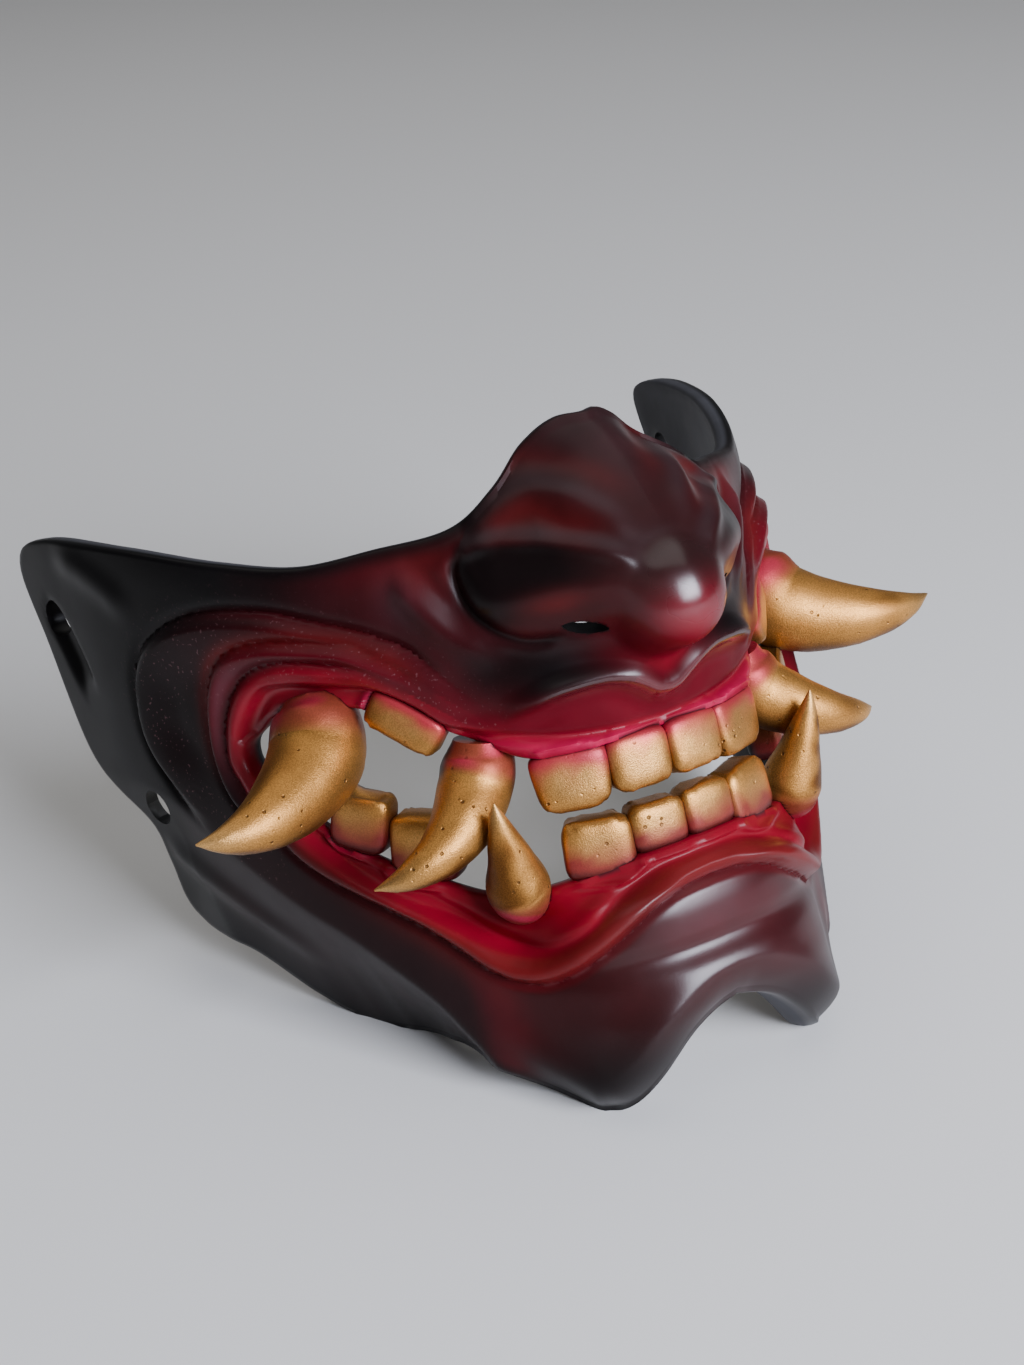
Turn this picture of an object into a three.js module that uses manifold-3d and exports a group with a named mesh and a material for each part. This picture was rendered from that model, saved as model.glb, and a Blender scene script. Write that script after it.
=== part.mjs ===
// Snarling demon half mask, cast in one piece: a thin shell that covers the face from the bridge of
// the nose to the chin, with folded cheeks, a ball-tipped nose, bared teeth, four curved tusks above,
// two fangs below, and two strap holes in each side.
//
// Units are millimetres. +Z is up, -Y is the front and +X is the wearer's left. The mask stands unheld
// on the lobes of its chin and on the edges of its jaw, leaning back, on the plane z = 0.
//
// The shell is a chart wrapped round a plan curve. A place on it is (a, h): a is the arc length from
// the middle along the curve, and h the height along the face, in the frame of the leaning face.
// The relief is a distance that each place stands out along the curve's normal.

import * as THREE from 'three';
import { mergeVertices } from 'three/addons/utils/BufferGeometryUtils.js';
import Module from 'manifold-3d';

const wasm = await Module();
wasm.setup();

// Driving dimensions
const LEAN = THREE.MathUtils.degToRad(22);      // how far the face leans back when the mask stands
const WALL = 4.6;                               // thickness of the cast wall
const MOUTH_WALL = 5.4;                         // the same along the edge of the mouth
const EDGE_ROUND = 1.8;                         // how far the rounded edges reach past the faces
const STRAP_HOLE = 8.8;                         // diameter of the four strap holes
const NOSE_BALL = { forward: 14.2, height: 98, radius: 11.3, spread: 1.3 };
const NOSE_HOLLOW = 13;                         // depth of the hollow behind the nose
const NOSTRIL = { a: 13.6, h: 95.9, width: 9.2, height: 3.6, tilt: 0.27, point: 1.6, rise: 0.38 };
const NOSTRIL_OUT = 9;                          // how far out its middle lies
const RING_STEPS = 46;                          // grid steps round half of the mouth
const FACE_STEPS = 16;                          // grid steps from the mouth to the outer edge
const BACK_STEPS = 5;                           // grid steps across the hollow side
const NOSE_SHARE = 0.15;                        // share of the ring steps kept for the nose
const NOSE_HALF = 31;                           // half the width they are spread over
const SOFTEN = 2.2;                             // reach of the softening that suits the grid
const ROUND_STEPS = 2;                          // points on each rounded edge

// Plan curve of the face, half of it: x to the side, d to the back.
const PLAN = [[0, -30], [12, -28.6], [25, -23], [38, -12.8], [50, -0.5], [60, 11], [68, 23], [75, 36],
  [80.5, 49], [84.5, 62], [87.5, 76], [90, 90], [91.3, 99]];

// Stations round the ring, from the bridge of the nose to the middle of the chin. Each one gives the
// place on the edge of the mouth, the place on the outer edge, and the wall's thickness there.
const STATIONS = [
  [0, 70, 0, 136.8, 4.6], [6, 70, 6, 136.8, 4.6], [13, 70, 14.5, 133.2, 4.6], [22, 70, 24, 126, 4.6],
  [31, 71.5, 35, 120.3, 4.6], [45, 79.5, 52, 119.6, 4.6], [55, 84.5, 70, 119.6, 4.6],
  [66, 88.5, 90, 124, 4.6], [75, 90.5, 118, 131.2, 4.6], [83, 89.5, 149, 136.5, 4.6],
  [88.5, 87, 164.5, 133, 4.6], [91.8, 84.5, 160.5, 112, 4.6], [92.6, 81.5, 155, 88, 4.6],
  [91.8, 78.5, 147, 77, 4.6], [90, 75, 138, 67, 4.6], [87.5, 71.5, 139, 57, 4.6],
  [84.5, 68, 141.5, 46, 4.6], [80.5, 65, 137, 39.8, 4.6], [75, 60.5, 120, 33, 4.8],
  [69, 56, 106, 21, 5], [62, 52, 94, 12.6, 5], [55, 48.5, 79, 10.6, 5.4], [47, 44.8, 66, 9.4, 7],
  [40, 43, 53, 5.2, 10], [30, 44, 34.5, -7, 11], [20, 45.4, 24.5, -5.8, 10], [10, 46.4, 10, 7.2, 7.5],
  [0, 46.6, 0, 11.5, 7]];

// Nose and lip: sections at heights h, each a list of places [a, out].
const SECTIONS = [
  [70, [[0, 0], [40, 0]]],
  [74, [[0, 1.2], [20, 1], [30, 0.6], [40, 0.3]]],
  [78, [[0, 4.2], [8, 3], [20, 2.4], [30, 1.2], [40, 0.5]]],
  [83.5, [[0, 7], [6, 6.6], [12, 5.3], [20, 4.8], [28, 3.2], [36, 1]]],
  [87, [[0, 8], [6, 7.3], [12, 5.2], [20, 4.2], [30, 2.4], [38, 1]]],
  [91, [[0, 10.5], [6, 8.8], [10, 6], [14, 4.5], [22, 3.5], [30, 2], [38, 1.2]]],
  [94, [[0, 15], [6, 13], [10, 8.5], [14, 6], [19, 4.4], [23, 3], [28, 1.5], [36, 1.5]]],
  [97, [[0, 19], [7, 16.5], [11, 12.5], [15, 9.6], [20, 7.4], [24, 5.4], [27, 3.4], [30, 0.6],
    [36, 1.5]]],
  [100, [[0, 21], [7, 19], [12.1, 14], [15.9, 11], [20.7, 8.2], [25, 6.2], [29, 4.2], [32, 1.4],
    [33.5, 0.3], [40, 1.5]]],
  [104, [[0, 20.8], [7, 19.8], [12, 17], [15.7, 14.4], [20.2, 11.5], [26.3, 8.1], [30, 6], [33, 3],
    [34.9, 0.2], [40, 1.5]]],
  [108, [[0, 19.3], [6, 18.7], [10, 17.3], [14.2, 15], [18.5, 11.6], [24, 7.9], [29, 5.6], [33, 2.6],
    [35.2, 0.2], [40, 1.5]]],
  [112, [[0, 17.6], [7, 16.9], [12.4, 14.2], [16.4, 11.4], [21.3, 7.9], [27, 5], [32, 2.2],
    [35, 0.2], [40, 1]]],
  [116, [[0, 15.6], [7, 14.6], [11.1, 11.6], [14.9, 8.8], [19.5, 6], [25.3, 3.6], [31, 1.2],
    [38, 0.5]]],
  [121, [[0, 12.4], [5.5, 11.6], [9, 9.8], [12, 7.6], [16.2, 4], [21.7, 1], [28, -0.6], [34, -0.3],
    [45, 0.3]]],
  [124, [[0, 10.3], [5, 9.6], [7.5, 8.6], [10.3, 6.6], [14.1, 3.2], [19, -0.6], [24, -2.4], [30, -3],
    [45, -1]]],
  [126, [[0, 8.7], [4.5, 7.7], [7.3, 5.8], [10.3, 2.8], [14.4, -0.6], [20, -3.7], [28, -5], [45, -1.5]]],
  [130, [[0, 5.5], [4, 4.1], [7, 1.2], [10, -1.8], [14, -4.6], [18, -6.3], [24, -7], [45, -3]]],
  [133, [[0, 3], [3, 1.8], [6, -0.8], [10, -3.8], [15, -6.6], [20, -8.1], [45, -3]]],
  [137, [[0, -3.2], [5, -5.3], [10, -7.2], [20, -9.5], [45, -3]]]];
const EAR_TIP = 10;                             // the station where the ear reaches furthest back
const NOSE_EDGE = [42, 52];                     // the sections fade out between these places

// How far the middle of the chin stands out, at heights h, and its lower edge, which is rolled under.
const CHIN = [[-5, 9.2], [12, 9.2], [17, 8.9], [21, 7.5], [25.5, 6.1], [29, 6.8], [32.5, 7.4], [36, 5],
  [39, 2.4], [42, 1.3], [48, 0]];
const CHIN_EDGE = [[0, 11.5], [4, 10.9], [10, 7.2], [17, -0.2], [24.5, -5.8], [30, -7.2], [34.5, -7],
  [43, -1.5], [53, 5.2], [66, 9.4], [79, 10.6]];
const CHIN_SPREAD = 33;

// Below this line the jaw turns in. The slope of the turn is given by place a.
const JAW_LINE = [[40, -4], [49, 3], [56.5, 14.5], [63.5, 25], [77, 38.5], [90.5, 48.5], [106.5, 62],
  [116, 71], [128, 77], [145, 80], [178, 82]];
const JAW_SLOPE = [[48, 0], [56, 2.2], [60, 1.8], [66, 1.3], [72, 1.1], [80, 0.85], [90, 0.68],
  [100, 0.55], [125, 0.3], [150, 0.22]];

// The top edge, and how far the shell rolls in towards it.
const TOP_LINE = [[0, 136.8], [5, 136.8], [11.2, 135], [18.1, 130.5], [23.8, 126.1], [28.4, 122.5],
  [34.5, 120.4], [42, 119.7], [52, 119.6], [70, 119.6], [90, 124], [118, 131.2], [149, 136.5],
  [165, 134], [178, 134]];
const TOP_ROLL = [[0, 0.6], [15, 1], [24, 2], [32, 3.5], [45, 3], [60, 1.2], [70, 0.5]];
const ROLL_HEIGHT = 8;

// Creases. Each fold rises steeply from its crease and slopes away towards the mouth.
const OUTER_FOLD = [[36, 83], [42, 90], [46, 95], [50, 98.8], [59, 103.8], [68, 107.5], [77, 111],
  [86, 113], [95.5, 114], [104.5, 113.5], [112, 111.5], [118, 108], [122, 102.5], [124, 96],
  [124.5, 90], [123, 84], [119.5, 78], [115.5, 71], [109, 63.5]];
const MIDDLE_FOLD = [[45, 89], [51.5, 95], [59, 100.5], [63.5, 102.5], [72.5, 104.5], [81.5, 105.7],
  [90.5, 105], [96, 102], [99.5, 97], [101.5, 91], [102.5, 85], [102.5, 79], [101, 73], [97, 66.5],
  [91, 60]];
const LIP_FOLD = [[51, 90], [59, 96.3], [68, 99.2], [77, 101], [84, 100.5], [90, 98], [94.5, 93],
  [97, 87], [97.8, 81], [96, 75], [93, 67.5], [88, 59.5], [81.5, 53.5], [72.5, 47.3], [63.5, 39.5],
  [54.5, 31.3], [49.5, 27.5], [45, 25], [40, 24], [35, 24.5], [30, 25.5], [25, 27.5], [20, 30.3],
  [10, 35], [0, 36.3]];
const GUM_LINE = [[0, 72], [15, 73.2], [25, 74.8], [33, 76.8], [40, 79.4], [45, 81.5], [51.5, 87],
  [59, 92], [68, 94.5], [77, 96], [83.5, 96], [88, 93], [92, 88], [93.5, 83], [93, 78.5], [90.5, 72.5],
  [86, 65.5], [80.5, 59.5], [72.5, 52.5], [64.5, 46.5], [54.5, 40.3], [49.5, 36.5], [45, 33.5],
  [40, 31.5], [35, 31], [30, 32.5], [25, 35], [20, 38.8], [10, 43], [0, 43.8]];
const LIP_LEDGE = [[0, 77.3], [3, 78], [6, 80.3], [9, 82.3], [13, 83.3], [20, 83], [26, 81.5], [33, 79]];
const NOSE_RIDGE = [[31, 119.5], [28.2, 121.9], [25, 124.2], [22.1, 125.7], [17.2, 126.3],
  [13.7, 125.2], [10.5, 122.9], [8, 119.9], [6.6, 117], [5.6, 113.9], [5.2, 110]];
const WING_RIDGE = [[33.5, 115.5], [30.2, 117.4], [26, 118], [20.2, 116.6], [15.1, 114.2],
  [10.8, 111.6], [8.4, 109], [7.2, 106.4], [6.5, 103]];
const CHEEK_RIDGE = [[50, 113], [46, 110], [42.5, 105], [38, 99.5], [33, 95.5], [27, 92.5]];
const EAR_RIDGE = [[146.5, 132], [136, 129.5], [124.5, 122.5], [115.5, 115]];
const JAW_RIDGE = [[136, 63], [121, 52.5], [110, 44], [101, 37], [92, 28]];
const STRAP_TROUGH = [[156.5, 121], [150.5, 116], [146.5, 107], [143, 98]];

const STRAP_HOLES = [[152, 118], [129, 71.5]];

// Tusks and fangs, right half: centre line points [x, d, h, radius].
const TUSKS = {
  outer: [[56.5, 14, 91, 6.5], [57.5, 12.5, 87, 9.6], [60.5, 10, 80, 10.3], [68.5, 4.6, 75.2, 8.8],
    [79, -1.2, 72.6, 6], [87.5, -3.2, 72.2, 3.2], [94.4, -3.2, 73.2, 0]],
  inner: [[32.5, -11, 76.5, 5.5], [33.5, -10.5, 72, 7.6], [36.5, -11, 66.5, 7.8], [42.5, -14.5, 61.5, 6.8],
    [50, -16.6, 57.6, 5], [57.8, -16, 55.3, 2.8], [64.2, -13, 54.4, 0]],
  fang: [[34.4, -14.5, 39.5, 3.5], [34.8, -16.5, 42.5, 6], [35.4, -18, 46.5, 6.7],
    [36.7, -20.6, 52, 5], [38.2, -23, 57.6, 3.4], [39.2, -24.8, 62.2, 1.8], [39.8, -26, 66.2, 0]]
};
const TUSK_SIDES = 10;

// Teeth, right half: middle [a, h], width, height, tilt, how far out the middle lies, depth.
const TEETH = [
  { a: 6.8, h: 65.3, width: 14, height: 12.4, tilt: 0, out: -3.2, depth: 9.4 },
  { a: 21.7, h: 65, width: 16.4, height: 13.2, tilt: 0.02, out: -3.2, depth: 9.4 },
  { a: 6.1, h: 50.8, width: 12.7, height: 10.6, tilt: 0.03, out: -2.8, depth: 8.6 },
  { a: 19.7, h: 49.6, width: 15, height: 13, tilt: 0.08, out: -2.8, depth: 9 },
  { a: 54, h: 83.4, width: 17.5, height: 8.8, tilt: 0.68, out: -3, depth: 8 },
  { a: 57.5, h: 56, width: 16, height: 14.5, tilt: 0.2, out: -5.5, depth: 9 },
  { a: 70.5, h: 64, width: 13.5, height: 13.5, tilt: 0.38, out: -4.5, depth: 9 }];
const TOOTH_SQUARENESS = 0.5;                   // 1 is an ellipsoid, 0 a block

// Flat contact with the table: the casting is cut off at z = 0.
const CUTTER = 400;

function ease(x, low, high) {
  const t = Math.min(Math.max((x - low) / (high - low), 0), 1);
  return t * t * (3 - 2 * t);
}

function bump(x, width) {
  return Math.exp(-((x / width) ** 2));
}

// Points along a Catmull-Rom curve through the given points, which may have any number of values.
function through(points, steps) {
  const first = points[0].map((v, i) => 2 * v - points[1][i]);
  const last = points.at(-1).map((v, i) => 2 * v - points.at(-2)[i]);
  const all = [first, ...points, last];
  const out = [];
  for (let k = 1; k < all.length - 2; k += 1) {
    for (let s = 0; s < steps; s += 1) {
      const t = s / steps;
      out.push(all[k].map((b, i) => {
        const [a, c, d] = [all[k - 1][i], all[k + 1][i], all[k + 2][i]];
        return 0.5 * (2 * b + (c - a) * t + (2 * a - 5 * b + 4 * c - d) * t * t
          + (3 * b - a - 3 * c + d) * t * t * t);
      }));
    }
  }
  out.push(points.at(-1));
  return out;
}

// Value of a smooth curve that never overshoots its points [x, y], level at its start if asked.
function table(x, points, level = false) {
  const last = points.length - 1;
  const slope = (i) => (points[i + 1][1] - points[i][1]) / (points[i + 1][0] - points[i][0]);
  const tangent = (i) => {
    if (i === 0) return level ? 0 : slope(0);
    if (i === last) return slope(last - 1);
    const product = slope(i - 1) * slope(i);
    return product > 0 ? (2 * product) / (slope(i - 1) + slope(i)) : 0;
  };
  const at = Math.min(Math.max(x, points[0][0]), points[last][0]);
  let i = 0;
  while (i < last - 1 && at >= points[i + 1][0]) i += 1;
  const run = points[i + 1][0] - points[i][0];
  const t = (at - points[i][0]) / run;
  return points[i][1] * (1 + 2 * t) * (1 - t) ** 2 + tangent(i) * run * t * (1 - t) ** 2
    + points[i + 1][1] * t * t * (3 - 2 * t) + tangent(i + 1) * run * t * t * (t - 1);
}

// Straight runs between points [x, y], held level past both ends.
function ramp(x, points) {
  let i = 0;
  while (i < points.length - 2 && x > points[i + 1][0]) i += 1;
  const [x0, y0] = points[i];
  const [x1, y1] = points[i + 1];
  return y0 + (y1 - y0) * Math.min(Math.max((x - x0) / (x1 - x0), 0), 1);
}

// A path in the chart, ready to be measured from.
function path(points, steps = 4) {
  const line = through(points, steps);
  const runs = [0];
  for (let i = 1; i < line.length; i += 1) {
    runs.push(runs[i - 1] + Math.hypot(line[i][0] - line[i - 1][0], line[i][1] - line[i - 1][1]));
  }
  return { line, runs };
}

// Distance from a path, positive on the left of its run, and the share of the run at the nearest point.
function beside(a, h, { line, runs }) {
  let best = { gap: Infinity, side: 0, share: 0 };
  for (let i = 0; i < line.length - 1; i += 1) {
    const length = runs[i + 1] - runs[i];
    const [ta, th] = [(line[i + 1][0] - line[i][0]) / length, (line[i + 1][1] - line[i][1]) / length];
    const [da, dh] = [a - line[i][0], h - line[i][1]];
    const along = Math.min(Math.max(da * ta + dh * th, 0), length);
    const gap = Math.hypot(da - along * ta, dh - along * th);
    if (gap < best.gap - 1e-9) {
      best = { gap, side: ta * dh - th * da, share: (runs[i] + along) / runs.at(-1) };
    }
  }
  return { off: best.side < 0 ? -best.gap : best.gap, share: best.share };
}

// Larger of two values, with the corner between them rounded.
function blend(a, b, round) {
  const t = Math.min(Math.max(0.5 + (0.5 * (a - b)) / round, 0), 1);
  return b + (a - b) * t + round * t * (1 - t);
}

const planLine = through([[-PLAN[1][0], PLAN[1][1]], ...PLAN], 24).slice(24);
const planRuns = [0];
for (let i = 1; i < planLine.length; i += 1) {
  const [x, d] = planLine[i];
  planRuns.push(planRuns[i - 1] + Math.hypot(x - planLine[i - 1][0], d - planLine[i - 1][1]));
}

// Place and outward normal on the plan curve at arc length a.
function plan(a) {
  const reach = Math.min(a, planRuns.at(-1));
  let i = 0;
  while (i < planRuns.length - 2 && reach > planRuns[i + 1]) i += 1;
  const length = planRuns[i + 1] - planRuns[i];
  const t = (a - planRuns[i]) / length;
  const [x0, d0] = planLine[i];
  const [x1, d1] = planLine[i + 1];
  const before = i > 0 ? planLine[i - 1] : [-x1, d1];
  const after = planLine[Math.min(i + 2, planLine.length - 1)];
  const turn = Math.min(t, 1);
  const tx = (x1 - before[0]) * (1 - turn) + (after[0] - x0) * turn;
  const td = (d1 - before[1]) * (1 - turn) + (after[1] - d0) * turn;
  const size = Math.hypot(tx, td);
  return { x: x0 + (x1 - x0) * t, d: d0 + (d1 - d0) * t, nx: td / size, nd: -tx / size };
}

// From the leaning face's frame to the standing mask's.
function stand(x, d, h) {
  return [x, d * Math.cos(LEAN) + h * Math.sin(LEAN), h * Math.cos(LEAN) - d * Math.sin(LEAN)];
}

// The point that stands out from the chart at (a, h); side is -1 for the mirrored half.
function surface(a, h, out, side = 1) {
  const p = plan(a);
  return stand(side * (p.x + out * p.nx), p.d + out * p.nd, h);
}

const jawLine = path(JAW_LINE);
const folds = [
  { path: path(OUTER_FOLD), height: 2.3, rise: 3.2, fall: [2.5, 15], left: 0.08, ends: [0.18, 0.86] },
  { path: path(MIDDLE_FOLD), height: 2.4, rise: 2.4, fall: [2, 8], left: 0.1, ends: [0.2, 0.85] },
  { path: path(LIP_FOLD), height: 3, rise: 2.6, fall: [3.2, 7.5], left: 0.25, ends: [0.12, 1] }];
const ridges = [
  { path: path(NOSE_RIDGE), height: 1.5, width: 2.2, fade: [0.12, 0.75] },
  { path: path(WING_RIDGE), height: 1.2, width: 1.8, fade: [0.08, 0.75] },
  { path: path(CHEEK_RIDGE), height: 1.6, width: 3.2, fade: [0.2, 0.7] },
  { path: path(EAR_RIDGE), height: 1, width: 3.5, fade: [0.3, 0.7] },
  { path: path(JAW_RIDGE), height: 1.2, width: 3.5, fade: [0.15, 0.6] },
  { path: path(STRAP_TROUGH), height: -2, width: 4, fade: [0.25, 0.6] }];
const gumLine = path(GUM_LINE);
const lipLedge = path(LIP_LEDGE);
const chinEdge = path(CHIN_EDGE);

// Nose and upper lip, by a smooth curve through the sections.
function noseOut(a, h) {
  const fade = ease(a, NOSE_EDGE[1], NOSE_EDGE[0]);
  if (fade === 0) return 0;
  return fade * table(h, SECTIONS.map(([height, places]) => [height, table(a, places, true)]));
}

// The broad form of the face, without its folds.
function broadForm(a, h) {
  let out = noseOut(a, h);
  const { forward, height, radius, spread } = NOSE_BALL;
  const inside = radius ** 2 - (spread * a) ** 2 - (h - height) ** 2;
  if (inside > 0) out = blend(out, forward + Math.sqrt(inside), 2.5);
  const below = Math.max(-beside(a, h, jawLine).off, 0);
  out -= (below * below / (below + 2)) * ramp(a, JAW_SLOPE);
  const edge = Math.min(Math.max(1 - (table(a, TOP_LINE, true) - h) / ROLL_HEIGHT, 0), 1.3);
  out -= ramp(a, TOP_ROLL) * edge * edge;
  out += table(h, CHIN) * Math.exp(-((a / CHIN_SPREAD) ** 4)) * ease(h, 50, 44);
  return out;
}

// The full relief of the front.
function faceOut(a, h) {
  let out = broadForm(a, h);
  for (const fold of folds) {
    const { off, share } = beside(a, h, fold.path);
    const strength = ease(share, 0, fold.ends[0]) * (fold.ends[1] < 1 ? ease(share, 1, fold.ends[1]) : 1);
    const crest = ease(-off, -0.2, fold.rise) * (1 - (1 - fold.left) * ease(-off, ...fold.fall));
    out += strength * fold.height * crest * ease(-off, 30, 15);
  }
  for (const ridge of ridges) {
    const { off, share } = beside(a, h, ridge.path);
    const strength = ease(share, 0, ridge.fade[0]) * ease(share, 1, ridge.fade[1]);
    out += strength * ridge.height * bump(off, ridge.width);
  }
  const gum = -beside(a, h, gumLine).off;
  const cheek = ease(a, 27, 44);
  out += -(0.1 + 3.1 * cheek) * ease(gum, -0.9, 1.3) + 1.5 * cheek * bump(gum - 4.5, 2.6);
  out += (1 - cheek) * (0.9 * bump(gum - 2, 1.6) - 0.9 * bump(gum + 0.2, 0.9));
  const ledge = beside(a, h, lipLedge);
  out += ease(ledge.share, 1, 0.7) * 1.7 * ease(ledge.off, -0.5, 0.9) * (1 - 0.7 * ease(ledge.off, 1.2, 5));
  const edge = beside(a, h, chinEdge).off;
  const under = (6 + 3 * bump(a - 31, 9)) * Math.min(Math.max(1 - edge / 9, 0), 1.2) ** 2;
  out += ease(a, 54, 40) * ease(h, 34, 26) * (1.3 * bump(edge - 8.5, 3.5) - under);
  return out;
}

// The relief averaged over the reach of the grid, so that its steps stay even between the rows.
function softOut(a, h) {
  const places = [[SOFTEN, 0], [-SOFTEN, 0], [0, SOFTEN], [0, -SOFTEN]];
  const sum = places.reduce((total, [da, dh]) => total + faceOut(Math.abs(a + da), h + dh), 0);
  return (2 * faceOut(a, h) + sum) / 6;
}

// The hollow side follows the broad form, softened, and is never nearer than the wall.
function backOut(a, h, wall) {
  const reach = 5;
  const here = broadForm(a, h);
  const around = [[reach, 0], [-reach, 0], [0, reach], [0, -reach]]
    .reduce((sum, [da, dh]) => sum + broadForm(Math.abs(a + da), h + dh), here) / 5;
  const nose = 2.5 + NOSE_HOLLOW * bump(a, 19) * bump(h - 106, 15);
  return Math.min(here, around, nose) - wall;
}

// One closed solid from a grid of rings, each ring a closed loop of points, itself closed or capped.
function gridSolid(rings, closed) {
  const count = rings[0].length;
  const positions = rings.flat(2);
  const gap = (i, j) => Math.hypot(...[0, 1, 2].map((n) => positions[3 * i + n] - positions[3 * j + n]));
  const index = [];
  const steps = closed ? rings.length : rings.length - 1;
  for (let k = 0; k < steps; k += 1) {
    const [near, far] = [k * count, ((k + 1) % rings.length) * count];
    for (let j = 0; j < count; j += 1) {
      const next = (j + 1) % count;
      const [a, b, c, d] = [near + j, far + j, far + next, near + next];
      index.push(...(gap(a, c) < gap(b, d) ? [a, b, c, a, c, d] : [a, b, d, b, c, d]));
    }
  }
  if (!closed) {
    for (const [k, flip] of [[0, false], [rings.length - 1, true]]) {
      const middle = positions.length / 3;
      const ring = rings[k];
      positions.push(...[0, 1, 2].map((i) => ring.reduce((sum, p) => sum + p[i], 0) / count));
      for (let j = 0; j < count; j += 1) {
        const [p, q] = [k * count + j, k * count + ((j + 1) % count)];
        index.push(middle, ...(flip ? [q, p] : [p, q]));
      }
    }
  }
  const geometry = new THREE.BufferGeometry();
  geometry.setAttribute('position', new THREE.Float32BufferAttribute(positions, 3));
  geometry.setIndex(index);
  return toSolid(geometry);
}

// A closed three.js geometry as a solid, turned the right way out.
function toSolid(source) {
  const geometry = source.clone();
  geometry.deleteAttribute('normal');
  geometry.deleteAttribute('uv');
  const merged = mergeVertices(geometry, 1e-4);
  const vertProperties = new Float32Array(merged.attributes.position.array);
  const corner = (i) => new THREE.Vector3().fromArray(vertProperties, 3 * i);
  const index = Array.from(merged.index.array);
  let faces = [];
  for (let i = 0; i < index.length; i += 3) {
    const face = index.slice(i, i + 3);
    if (new Set(face).size === 3) faces.push(face);
  }
  const volume = faces.reduce((sum, [a, b, c]) => sum + corner(a).dot(corner(b).cross(corner(c))), 0);
  if (volume < 0) faces = faces.map(([a, b, c]) => [a, c, b]);
  const triVerts = new Uint32Array(faces.flat());
  return new wasm.Manifold(new wasm.Mesh({ numProp: 3, vertProperties, triVerts }));
}

function toGeometry(solid) {
  const mesh = solid.getMesh();
  const geometry = new THREE.BufferGeometry();
  const positions = [];
  for (let i = 0; i < mesh.vertProperties.length; i += mesh.numProp) {
    positions.push(...mesh.vertProperties.slice(i, i + 3));
  }
  geometry.setAttribute('position', new THREE.Float32BufferAttribute(positions, 3));
  geometry.setIndex(Array.from(mesh.triVerts));
  geometry.computeVertexNormals();
  return geometry;
}

// Stations spread evenly round half of the ring.
function halfRing() {
  const line = through(STATIONS, 24);
  const run = (i) => {
    const runs = [0];
    for (let k = 1; k < line.length; k += 1) {
      const step = Math.hypot(line[k][i] - line[k - 1][i], line[k][i + 1] - line[k - 1][i + 1]);
      runs.push(runs[k - 1] + step);
    }
    return runs.map((value) => value / runs.at(-1));
  };
  const [mouth, rim] = [run(0), run(2)];
  const weight = line.map((station, k) => {
    const nose = k < line.length / 2 ? Math.min(station[0] / NOSE_HALF, 1) : 1;
    return 0.4 * mouth[k] + (0.6 - NOSE_SHARE) * rim[k] + NOSE_SHARE * nose;
  });
  const tip = weight[EAR_TIP * 24];
  const tipStep = Math.round(tip * RING_STEPS);
  const stations = [];
  for (let s = 0; s <= RING_STEPS; s += 1) {
    const target = s === tipStep ? tip : s / RING_STEPS;
    let k = 0;
    while (k < weight.length - 2 && weight[k + 1] < target) k += 1;
    const t = (target - weight[k]) / (weight[k + 1] - weight[k]);
    stations.push(line[k].map((value, i) => value + (line[k + 1][i] - value) * t));
  }
  return stations;
}

// One closed section of the shell at a station: over the front, round the edge, along the back.
function shellSection([mouthA, mouthH, rimA, rimH, rimWall], side) {
  const width = Math.hypot(rimA - mouthA, rimH - mouthH);
  const round = EDGE_ROUND / width;
  const place = (v) => [Math.max(mouthA + (rimA - mouthA) * v, 0), mouthH + (rimH - mouthH) * v];
  const wallAt = (v) => {
    const rim = WALL + (rimWall - WALL) * ease(v, 1 - 14 / width, 1);
    return rim + (MOUTH_WALL - WALL) * ease(v, 9 / width, 0);
  };
  const front = (v) => softOut(...place(v));
  const back = (v) => Math.min(backOut(...place(v), wallAt(v)), front(v) - 0.6 * wallAt(v));
  const points = [];
  const push = (v, out) => points.push(surface(...place(v), out, side));
  for (let j = 0; j <= FACE_STEPS; j += 1) {
    const v = round + (1 - 2 * round) * (j / FACE_STEPS) ** 1.15;
    push(v, front(v));
  }
  const edge = (v, towards) => {
    const [top, bottom] = towards > 0 ? [front(v), back(v)] : [back(v), front(v)];
    for (let j = 1; j <= ROUND_STEPS; j += 1) {
      const angle = (Math.PI * j) / (ROUND_STEPS + 1);
      const past = towards * round * Math.sin(angle) ** 0.6;
      push(v + past, (top + bottom) / 2 + ((top - bottom) / 2) * Math.cos(angle));
    }
  };
  edge(1 - round, 1);
  for (let j = 0; j <= BACK_STEPS; j += 1) {
    const v = 1 - round - (1 - 2 * round) * (j / BACK_STEPS);
    push(v, back(v));
  }
  edge(round, -1);
  return points;
}

function shell() {
  const half = halfRing();
  const right = half.map((station) => shellSection(station, 1));
  const left = half.slice(1, -1).reverse().map((station) => shellSection(station, -1));
  return gridSolid([...right, ...left], true);
}

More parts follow.
